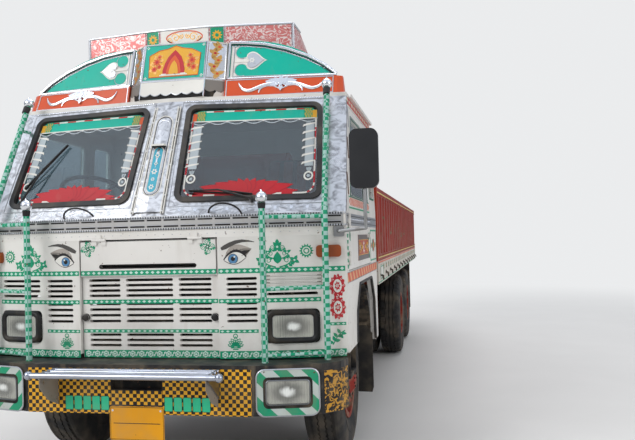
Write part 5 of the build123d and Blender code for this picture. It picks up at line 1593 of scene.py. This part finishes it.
twin_offset, ring_steps = 0.160, 60
for side, flip in (("left", 1), ("right", -1)):
    for axle in ("front", "middle", "rear"):
        front_wheel = axle == "front"
        node = f"front_tyre_{side}" if front_wheel else f"{axle}_tyres_{side}"
        body = f"front_wheel_{side}" if front_wheel else f"{axle}_wheels_{side}"
        low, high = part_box(node)
        middle = (Vector(low) + Vector(high)) / 2
        tyre = Trim(node.replace("tyre", "treaded_tyre"), body, "tyre_rubber")
        for offset in (0.0,) if front_wheel else (-twin_offset, twin_offset):
            centre = Vector((middle.x + offset, middle.y, middle.z))
            tyre.sweep(tyre_rings(centre, not front_wheel), tyre_rubber, closed=True)
        tyre.done(30.0, (node,))
        rim_face, hub_face, nut_circle = (0.1305, 0.1655, 0.128) if front_wheel else (0.0165, 0.1505, 0.1325)
        for name, out, circle_radius, count, size in (("nuts", rim_face, nut_circle, 10, 0.0135),
                                                      ("hub_bolts", hub_face, 0.052, 8, 0.008)):
            ring = [(Vector((middle.x + flip * out, y, z)), Vector((flip, 0, 0)))
                    for y, z in circle((middle.y, middle.z), circle_radius, ring_steps)]
            around = ring_steps * 2 * circle_radius * math.sin(math.pi / ring_steps)
            row(f"{axle}_{name}_{side}", [ring + ring[:1]], "hexagon", around / count - 1e-6, size,
                spring_steel, body, "rim_paint", 30.0)
print("wheels treaded and bolted")

# %% [markdown]
# ## Cab sides
# Both sides carry the same trim, mirrored: a red fascia under the roof's edge, a dark frame round
# the door's window, a framed vine on the door, the aluminium waist strip, and a hatched orange band
# along the bottom. What is on the door rides on the door, so it swings with it. One rule for the
# side's surface serves both, because it takes the way it faces as a number.


# %% Colours and edges of the cab's side
def hatched(finish):
    """Slanted orange and white hatching for the band along the sill."""
    slant = ((finish.y + finish.z) * 7.2) % 1.0
    return finish.mix(slant > 0.34, tone(222, 172, 118), tone(208, 70, 28))


hatched_band = weathered("hatched_band", hatched, gloss=0.34, dirt=0.35, chips=0.2, dent=0.001, low=1.2)
fascia_red = weathered("fascia_red", tone(190, 48, 34), gloss=0.3, dirt=0.3, chips=0.25, dent=0.002, low=1.5)
frame_ink = ink("frame_ink", 92, 84, 84)
brick_ink = ink("brick_ink", 178, 66, 30)
door_front, door_rear = nose + 0.246, nose + 1.432
sill_front, cab_rear = nose + 0.176, nose + 1.876
fascia_foot, fascia_top = 2.449, 2.496


def leaning_front(z):
    """Front edge of the side wall at a height."""
    return nose + 0.172 if z < 1.715 else screen_depth(side_width(z), z) + 0.036


def waist_strip(trim, start, end, gap):
    """The silver strip at the waist, with two black lines that end short of it."""
    trim.plate(rectangle((start, end), (1.632, 1.708)), silver_sheet, 0.0025)
    for z in (1.650, 1.692):
        line = rectangle((start + gap, end - gap), (z - 0.0022, z + 0.0022))
        trim.plate(line, black_ink, 0.0008, 0.0025)


def wall_art(side, skin):
    """Trim on the fixed side of the cab."""
    wall = Trim(f"side_art_{side}").on(skin)
    wall.plate([(leaning_front(fascia_foot) + 0.004, fascia_foot), (cab_rear, fascia_foot),
                (cab_rear, fascia_top), (leaning_front(fascia_top) + 0.004, fascia_top)], fascia_red, 0.0025)
    for k in range(11):
        at = (nose + 0.56 + 0.122 * k, 2.472)
        wall.blossom(6, at, 0.014, yellow_ink, 0.0012, 0.0025)
        wall.leaves(0.3, at, 0.040, (0, 180), pale_ink, 0.0010, 0.0025)
    wall.plate(rectangle((sill_front, cab_rear), (1.284, 1.341)), hatched_band, 0.0016)
    for z in (1.281, 1.344):
        wall.bead([(sill_front, z), (cab_rear, z)], 0.003, silver_sheet, 6)
    waist_strip(wall, sill_front, door_front - 0.006, 0.004)
    waist_strip(wall, door_rear + 0.010, cab_rear, 0.004)
    wall.plate(rectangle((nose + 0.180, nose + 0.236), (1.352, 1.622)), white_ink, 0.0010)
    for k in range(7):
        wall.leaves(0.32, (nose + 0.208, 1.370 + 0.038 * k), 0.036, (35, 145), leaf_ink, 0.0012, 0.0010)
    for z in (1.90, 2.14, 2.36):
        start = leaning_front(z) + 0.020
        finish = made_finishes["trim_brown"] if z < 2.3 else silver_sheet
        wall.plate(rectangle((start, start + 0.040), (z - 0.07, z + 0.07)), finish, 0.0012)
    wall.tape(rectangle((nose + 1.505, nose + 1.800), (1.860, 2.380)), 0.016, dark_green, 0.0016, closed=True)
    wall.tape(rectangle((nose + 1.455, nose + 1.855), (1.372, 1.606)), 0.012, leaf_ink, 0.0014, closed=True)
    at = (nose + 1.655, 1.489)
    for turn in (0, 180):
        for way, size in ((-34, 0.086), (0, 0.122), (34, 0.086)):
            wall.leaves(0.26, at, size, (turn + way,), leaf_ink, 0.0008)
    for way in (-1, 1):
        wall.blossom(6, (at[0] + way * 0.142, at[1]), 0.022, orange_ink, 0.0014)
    wall.blossom(8, at, 0.056, red_ink, 0.0014, deep=0.36)
    wall.blossom(5, at, 0.026, yellow_ink, 0.0012, 0.0014)
    arch = [(0.540, 0.868), (0.570, 1.070), (0.730, 1.240), (1.450, 1.240), (1.640, 1.050), (1.678, 0.730)]
    wall.bead([(nose + u, v) for u, v in arch], 0.011, made_finishes["seal_black"], 8)
    wall.done()


def vine(door, middle, level):
    """A white flower between two wavy stems with yellow leaves."""
    for way in (-1, 1):
        stem = [(middle + way * (0.052 + 0.0092 * k), level + 0.014 * math.sin(0.78 * k)) for k in range(21)]
        door.tape(stem, 0.005, dark_green, 0.0009, 0.0014)
        for k in range(6):
            up = (-1, 1)[k % 2]
            door.leaves(0.3, stem[3 * k + 2], 0.044, (90 * up - way * up * 55,), yellow_ink, 0.0008, 0.0024)
        door.blossom(5, stem[-1], 0.020, white_ink, 0.0010, 0.0034)
    door.blossom(8, (middle, level), 0.046, white_ink, 0.0014, 0.0014, 0.36)
    door.blossom(5, (middle, level), 0.026, red_ink, 0.0012, 0.0028)


def door_art(side, skin):
    """Trim on a door: window frame, waist strip, chequered band, and the vine in its frame."""
    door = Trim(f"door_art_{side}", f"{side}_door").on(skin)
    window = [(leaning_front(1.835) + 0.146, 1.824), (door_rear - 0.070, 1.824), (door_rear - 0.070, 2.371),
              (leaning_front(2.36) + 0.146, 2.371)]
    door.tape(window, 0.020, dark_green, 0.0022, closed=True)
    door.bead(window, 0.0032, silver_sheet, 6, closed=True, lift=0.002)
    waist_strip(door, door_front + 0.004, door_rear, 0.006)
    start = leaning_front(1.79) + 0.092
    band_z = 1.786
    marked_tape(door, (start, band_z), (door_rear - 0.020, band_z), 0.050, 0.062, white_ink, orange_ink,
                "chequer")
    for low, high, thick in ((1.742, 1.752, 0.0014), (1.8145, 1.8195, 0.0012)):
        door.plate(rectangle((start, door_rear - 0.012), (low, high)), leaf_ink, thick)
    frame_us, frame_vs = (0.700, 0.737, 1.285, 1.322), (1.396, 1.433, 1.537, 1.574)
    (u0, u1, u2, u3), (v0, v1, v2, v3) = [nose + u for u in frame_us], frame_vs
    door.plate(rectangle((u0, u3), (v0, v3)), brick_ink, 0.0014)
    for across, up in (((u0, u1), (v0, v3)), ((u2, u3), (v0, v3)),
                       ((u1, u2), (v0, v1)), ((u1, u2), (v2, v3))):
        door.plate(rectangle(across, up), frame_ink, 0.0012, 0.0014)
    door.bead(rectangle((u1, u2), (v1, v2)), 0.0022, yellow_ink, 6, closed=True, lift=0.002)
    vine(door, nose + 1.011, 1.485)
    for u, v, turn in ((nose + 0.300, 1.395, 60), (nose + 0.300, 1.590, -60),
                       (door_rear - 0.050, 1.395, 120), (door_rear - 0.050, 1.590, 240)):
        for way, size in ((-28, 0.050), (0, 0.066), (28, 0.050)):
            door.leaves(0.26, (u, v), size, (turn + way,), leaf_ink)
    door.done()
    rivet_line = [(door_front + 0.012, 1.672), (door_rear - 0.010, 1.672)]
    rivets = [row_on(skin, rivet_line, 0.0025)]
    row(f"door_rivets_{side}", rivets, "dome", 0.044, 0.0045, chrome, f"{side}_door")


print("cab side: waist strip, wall and door")

# %% Walls, doors and mirror glass on both sides
mirror_z, mirror_y = 2.020, nose + 0.080
for side, flip in (("left", 1), ("right", -1)):
    skin = side_skin(flip)
    wall_art(side, skin)
    door_art(side, skin)
    glass = Trim(f"mirror_glass_{side}")
    at = (flip * 1.347, mirror_z)
    glass.slab(rounded(0.146, 0.326, 0.036, at=at), mirror_y, mirror_y + 0.0022, chrome)
    rim = [(u, mirror_y + 0.001, v) for u, v in rounded(0.152, 0.332, 0.038, at=at)]
    glass.rod(rim, 0.0045, black_ink, 8, closed=True)
    glass.done()

# %% Rubber flaps behind the front wheels
flaps = Trim("front_flaps")
flap_inner, flap_foot, flap_top = 0.800, 0.290, 0.870
for flip in (-1, 1):
    sheets = []
    for k in range(15):
        z = flap_foot + 0.040 * k
        hem = 0.012 if k in (0, 14) else 0.0
        low, high = flap_inner + hem, (1.190 if z < 0.80 else 1.150) - hem
        curl = 0.010 * ((flap_top - z) / 0.58) ** 2
        line = [low + (high - low) * j / 10 for j in range(11)]
        front = [Vector((flip * x, nose + 1.660 + curl + 0.004 * math.sin(19 * x + 3 * z), z)) for x in line]
        sheets.append(front + [point + Vector((0, 0.007, 0)) for point in front[::-1]])
    flaps.sweep(sheets, tyre_rubber)
    clamp = rectangle((nose + 1.652, nose + 1.658), (0.836, 0.862))
    flaps.sweep([[Vector((flip * x, y, z)) for y, z in clamp] for x in (0.806, 1.144)], spring_steel)
flaps.done()
print("cab sides dressed")

# %% [markdown]
# ## Load body
# The ribbed sides are orange-red with faint painted vines and a white board along the bed, rubbed
# by ropes. Hooks for them stand under the board. At the back are red lamps and a plain plate. The
# vines are sums of sines in the paint itself, so they bend over the ribs as brushed paint does.


# %% Paint of the load body
def side_colours(finish):
    """White board below, orange-red above with a pale line and worn, faded green vines."""
    stem = finish.maths("SINE", finish.y * 11.6) * 0.085 + 1.66
    vine = abs(finish.z - stem).ramp(0.012, 0.004)
    slanted = finish.z * 52.0 + finish.y * 9.0
    leaf_place = finish.maths("SINE", finish.y * 46.0) * finish.maths("SINE", slanted)
    leaves = (leaf_place > 0.62) * abs(finish.z - stem).ramp(0.085, 0.060)
    faded = finish.noise(2.4, 3.0).ramp(0.42, 0.62) * 0.55
    shade = finish.mix(((vine + leaves) > 0.4) * faded, side_red, tone(56, 122, 84))
    for line in (1.945, 1.372):
        shade = finish.mix(abs(finish.z - line) < 0.006, shade, tone(222, 196, 120))
    return finish.mix(finish.z < 1.3402, shade, tone(214, 208, 198))


load_paint = weathered("load_side_paint", side_colours, gloss=0.38, dirt=0.45, chips=0.4, low=1.5)
for name in ("cargo_side_left", "cargo_side_right", "tailgate"):
    for place in nodes[name].material_slots:
        place.material = load_paint
print("vines painted on the load body")

# %% Rope hooks, boards and rivets
body_half, bed_front, bed_rear = 1.220, nose + 1.985, 4.460


def places_along(margin, count, shift=0.0):
    """Even places along the bed, short of its ends by a margin; a shift moves them between steps."""
    steps = count if shift else count - 1
    length = bed_rear - bed_front - 2 * margin
    return [bed_front + margin + length * (k + shift) / steps for k in range(count)]


hooks = Trim("rope_hooks")
hook_half, eye_z = 0.035, 1.215
for flip in (-1, 1):
    x = flip * body_half
    for y in places_along(0.22, 13):
        bend = ((0.0, -hook_half, eye_z), (0.020, -hook_half, 1.205), (0.024, -0.022, 1.176),
                (0.024, 0.022, 1.176), (0.020, hook_half, 1.205), (0.0, hook_half, eye_z))
        hooks.rod([(x + flip * out, y + step, z) for out, step, z in bend], 0.0065, spring_steel, 8)
        for step in (-hook_half, hook_half):
            hooks.rod([(x + flip * out, y + step, eye_z) for out in (0.0, 0.004)], 0.016, spring_steel)
hooks.done()

boards = Trim("board_art")
flower_z = 1.278
for flip in (-1, 1):
    skin = side_skin(flip, lambda z: body_half)
    boards.on(skin)
    for up, finish in (((1.322, 1.336), orange_ink), ((1.150, 1.160), leaf_ink)):
        boards.plate(rectangle((bed_front + 0.01, bed_rear - 0.01), up), finish, 0.0012)
    for k, y in enumerate(places_along(0.12, 24, 0.5)):
        boards.blossom(6, (y, flower_z), 0.024, (red_ink, orange_ink)[k % 2])
        boards.plate(circle((y, flower_z), 0.008, 10), yellow_ink, 0.0010, 0.0012)
        boards.leaves(0.28, (y, flower_z), 0.058, (20, 160, 200, 340), leaf_ink, 0.0008)
    at = (bed_front + 0.30, 1.236)
    boards.plate(rounded(0.250, 0.120, 0.012, at=at), white_ink, 0.0030, 0.0012)
    boards.tape(rounded(0.236, 0.106, 0.010, at=at), 0.008, leaf_ink, 0.0040, 0.0012, closed=True)
boards.done()
rail_lines = [row_on(side_skin(flip, lambda z: body_half), [(bed_front + 0.10, z), (bed_rear - 0.08, z)])
              for flip in (-1, 1) for z in (1.385, 1.928)]
row("side_rail_rivets", rail_lines, "dome", 0.135, 0.008, made_finishes["side_red"])

# %% Lamps, plate and reflectors at the back
tail_red = weathered("tail_lamp_red", tone(150, 14, 16), gloss=0.14, dirt=0.25, chips=0.0, dent=0.0006)
tail, plate_z = 4.500, 0.620
lamp_face, lamp_z = tail - 0.008, 0.905
rear = Trim("tail_lamp_lenses")
for flip in (-1, 1):
    for x, finish in ((0.862, tail_red), (0.940, made_finishes["lamp_amber"])):
        lens_line = rounded(0.070, 0.094, 0.012, at=(flip * x, lamp_z))
        rear.slab(lens_line, lamp_face, lamp_face + 0.007, finish)
    rim = rounded(0.158, 0.106, 0.016, at=(flip * 0.900, lamp_z))
    rear.rod([(u, lamp_face + 0.002, v) for u, v in rim], 0.004, black_ink, 8, closed=True)
    rear.slab(circle((flip * 1.02, plate_z), 0.034, 20), tail, tail + 0.006, tail_red)
rear.done()
rear_plate = Trim("rear_plate")
for grow, front, back in ((0.0, 0.0, 0.003), (-0.012, 0.003, 0.0036)):
    outline = rounded(0.340 + grow, 0.100 + grow, 0.010, at=(0, plate_z))
    rear_plate.slab(outline, tail + front, tail + back, plate_yellow)
rear_plate.done()
print("load body dressed")

# %% [markdown]
# ## Seats
# The seats are stuffed, so plain blocks won't do. Each cushion starts as a slightly small block
# with a fine grid, is blown up with Blender's cloth until it crowns, has its points held within
# 14 mm of where they began, and then gets sewn channels. The wooden boxes below stay hard and
# get a board's finish.


# %% Cloth of the cushions
def weave(finish):
    """A coarse two-way weave, 3 mm a thread, with a faded stripe."""
    threads = 2100.0
    across = finish.maths("SINE", finish.x * threads)
    along = finish.maths("SINE", finish.y * threads + finish.z * threads)
    finish.bump(across * along * 0.5 + 0.5, 0.0008)
    stripe = ((finish.x * 9.0) % 1.0).ramp(0.42, 0.5) * ((finish.x * 9.0) % 1.0).maths("LESS_THAN", 0.78)
    worn = finish.noise(5.0, 4.0)
    shade = finish.mix(stripe, tone(120, 44, 40), tone(78, 34, 40))
    finish.set("Base Color", finish.mix(worn.ramp(0.45, 0.75) * 0.4, shade, tone(150, 110, 96)))
    finish.set("Roughness", 0.78 + worn * 0.18)


woven = Finish("woven_seat", Sheen_Weight=0.3)
weave(woven)
seat_board = weathered("seat_board", tone(58, 40, 34), gloss=0.5, dirt=0.3, chips=0.2, dent=0.001, low=0.4)
print("seat cloth is woven")


# %% Stuffed cushions by cloth simulation
def block_grid(corners, cells):
    """A closed block between eight corners with an even grid on every face."""
    shell = bmesh.new()
    cube = {}

    def at(key):
        if key not in cube:
            u, v, w = (step / count for step, count in zip(key, cells))
            point = Vector((0, 0, 0))
            for n, corner in enumerate(corners):
                weight = (u if n & 1 else 1 - u) * (v if n & 2 else 1 - v) * (w if n & 4 else 1 - w)
                point += Vector(corner) * weight
            cube[key] = shell.verts.new(point)
        return cube[key]

    for a, b, across in ((0, 1, 2), (0, 2, 1), (1, 2, 0)):
        for i in range(cells[a]):
            for j in range(cells[b]):
                for k in (0, cells[across]):
                    corner_keys = []
                    for step_a, step_b in ((0, 0), (1, 0), (1, 1), (0, 1)):
                        key = [k, k, k]
                        key[a], key[b] = i + step_a, j + step_b
                        corner_keys.append(tuple(key))
                    shell.faces.new([at(key) for key in corner_keys])
    bmesh.ops.recalc_face_normals(shell, faces=shell.faces)
    return shell


def smoothed(mesh, times):
    """Draws every point towards its neighbours."""
    shell = bmesh.new()
    shell.from_mesh(mesh)
    for _ in range(times):
        bmesh.ops.smooth_vert(shell, verts=shell.verts, factor=0.5, use_axis_x=True, use_axis_y=True,
                              use_axis_z=True)
    shell.to_mesh(mesh)
    shell.free()


def cushion(name, corners, cells, limit=0.014, pressure=4.0, settled=20):
    """A stuffed block: cloth blown up from inside, held near its start, then smoothed."""
    shell = block_grid(corners, cells)
    mesh = bpy.data.meshes.new(name)
    shell.to_mesh(mesh)
    shell.free()
    pad = linked(name, mesh)
    mesh.materials.append(woven.material)
    start = [v.co.copy() for v in mesh.vertices]
    cloth = pad.modifiers.new("cloth", "CLOTH")
    cloth.settings.use_pressure = True
    cloth.settings.uniform_pressure_force = pressure
    cloth.settings.effector_weights.gravity = 0
    for step in range(1, settled + 1):
        bpy.context.scene.frame_set(step)
    found = pad.evaluated_get(bpy.context.evaluated_depsgraph_get()).to_mesh()
    places = [v.co.copy() for v in found.vertices]
    pad.evaluated_get(bpy.context.evaluated_depsgraph_get()).to_mesh_clear()
    pad.modifiers.clear()
    bpy.context.scene.frame_set(1)
    for vertex, place, home in zip(mesh.vertices, places, start):
        move = place - home
        vertex.co = home + move * min(1.0, limit / max(move.length, 1e-9))
    smoothed(mesh, 3)
    return pad


def channels(pad, low, high, count, depth, outward):
    """Sewn channels across a cushion: its upper face is drawn in along even lines."""
    for vertex in pad.data.vertices:
        share = (vertex.co.x - low) / (high - low)
        drawn = max(0.0, math.cos(math.tau * share * count)) ** 6
        vertex.co -= outward * (depth * drawn)


seat_section = ((0.935, 1.612), (1.425, 1.612), (0.955, 1.706), (1.345, 1.700))
back_section = ((1.348, 1.742), (1.440, 1.722), (1.484, 2.194), (1.548, 2.186))
cell = 0.018
for name, (x0, x1), seams in (("driver", (-0.888, -0.392), 6), ("crew", (0.392, 1.080), 8)):
    for part, section, deep, high, upper_side in (("cushion", seat_section, 26, 6, Vector((0, 0, 1))),
                                                  ("back", back_section, 5, 25, Vector((0, -1, 0.25)))):
        corners = [(x, nose + y, z) for y, z in section for x in (x0, x1)]
        pad = cushion(f"{name}_seat_{part}", corners, (round((x1 - x0) / cell), deep, high))
        channels(pad, x0, x1, seams, 0.005, upper_side)
        seat(pad, "truck", "seat_cloth", 180.0)

seat_base = Trim("seat_bases", "truck", "trim_brown")
seat_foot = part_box("seats")[0][2] + 0.0005
for x0, x1 in ((-0.899, -0.381), (0.381, 1.089)):
    seat_base.box((x0, x1), (nose + 0.961, nose + 1.399), (seat_foot, 1.600), seat_board)
    hoop = ((x0 + 0.02, 1.470, 1.63), (x0 + 0.02, 1.556, 2.19),
            (x1 - 0.02, 1.556, 2.19), (x1 - 0.02, 1.470, 1.63))
    seat_base.rod([(x, nose + y, z) for x, y, z in hoop], 0.009, black_ink, 8)
seat_base.done(35.0, ("seats",))
print("seats stuffed")

# %% Put the small shapes away
for shape in shapes.values():
    bpy.data.objects.remove(shape)
print("patterns removed")

# %% [markdown]
# ## Floor and light
# The studio is plain: a pale floor that melts into a pale background, one broad lamp in front
# on the camera's left, weaker lamps on the right, behind and above. The background's brightness is
# seen only by the camera, by reflections and through glass, so it never bleaches the paint.

# %% Floor and world
backdrop = (0.83, 0.84, 0.85, 1)
floor_mesh = bpy.data.meshes.new("floor")
floor_mesh.from_pydata([(-90, -90, 0), (90, -90, 0), (90, 90, 0), (-90, 90, 0)], [], [(0, 1, 2, 3)])
floor = linked("floor", floor_mesh)
ground = Finish("floor_ground", Roughness=0.75)
cement = ground.noise(1.3, 5.0)
ground.set("Base Color", ground.mix(cement.ramp(0.3, 0.75), (0.765, 0.76, 0.75, 1), (0.785, 0.78, 0.77, 1)))
glow = ground.node("ShaderNodeEmission", {}, {0: backdrop, 1: 1.0})
beyond = (ground.y.maths("ABSOLUTE") - 3.5).maths("MAXIMUM", 0.0)
distance = ground.maths("SQRT", ground.x * ground.x + beyond * beyond)
near = ground.shader.outputs[0]
melted = ground.node("ShaderNodeMixShader", {}, {0: distance.ramp(3.0, 11.0), 1: near, 2: glow})
ground.tree.links.new(melted.socket, ground.tree.nodes["Material Output"].inputs["Surface"])
floor_mesh.materials.append(ground.material)

world = bpy.data.worlds.new("studio")
bpy.context.scene.world = world
world.use_nodes = True
air = world.node_tree
fill = air.nodes["Background"]
fill.inputs[0].default_value = (0.93, 0.96, 1.0, 1)
fill.inputs[1].default_value = 0.42


def air_node(kind, sockets=None, settings=None):
    return add_node(air, "ShaderNode" + kind, settings, sockets).outputs


rays = air_node("LightPath")
behind = air_node("Background", {0: backdrop})
height = air_node("SeparateXYZ", {0: air_node("TexCoord")["Generated"]})["Z"]
sky = air_node("MapRange", {0: height, 1: 0.02, 2: 0.60, 3: 0.16, 4: 1.05})
reflected = air_node("Background", {0: (0.80, 0.87, 1.0, 1), 1: sky[0]})
larger = {"operation": "MAXIMUM"}
glossy_or_camera = air_node("Math", {0: rays["Is Glossy Ray"], 1: rays["Is Camera Ray"]}, larger)
direct = air_node("Math", {0: glossy_or_camera[0], 1: rays["Is Transmission Ray"]}, larger)
backdrop_or_sky = air_node("MixShader", {0: rays["Is Glossy Ray"], 1: behind[0], 2: reflected[0]})
blend = air_node("MixShader", {0: direct[0], 1: fill.outputs[0], 2: backdrop_or_sky[0]})
air.links.new(blend[0], air.nodes["World Output"].inputs["Surface"])
print("floor and world are in place")

# %% Lamps
for name, place, size, power, target in (
        ("key", (-7.0, -13.0, 8.5), 7.0, 1050, (0, -3.0, 1.2)),
        ("fill_right", (12.0, -8.0, 6.0), 7.0, 400, (0, 0, 1.2)),
        ("top", (0.0, 1.0, 12.0), 9.0, 560, (0, 1.0, 0)),
        ("back", (-3.0, 15.0, 7.0), 7.0, 560, (0, 2.0, 1.2))):
    lamp = linked(name, bpy.data.lights.new(name, "AREA"))
    lamp.data.size = size
    lamp.data.energy = power
    lamp.location = place
    lamp.rotation_euler = (Vector(target) - Vector(place)).to_track_quat("-Z", "Y").to_euler()
print("studio lit by four lamps")
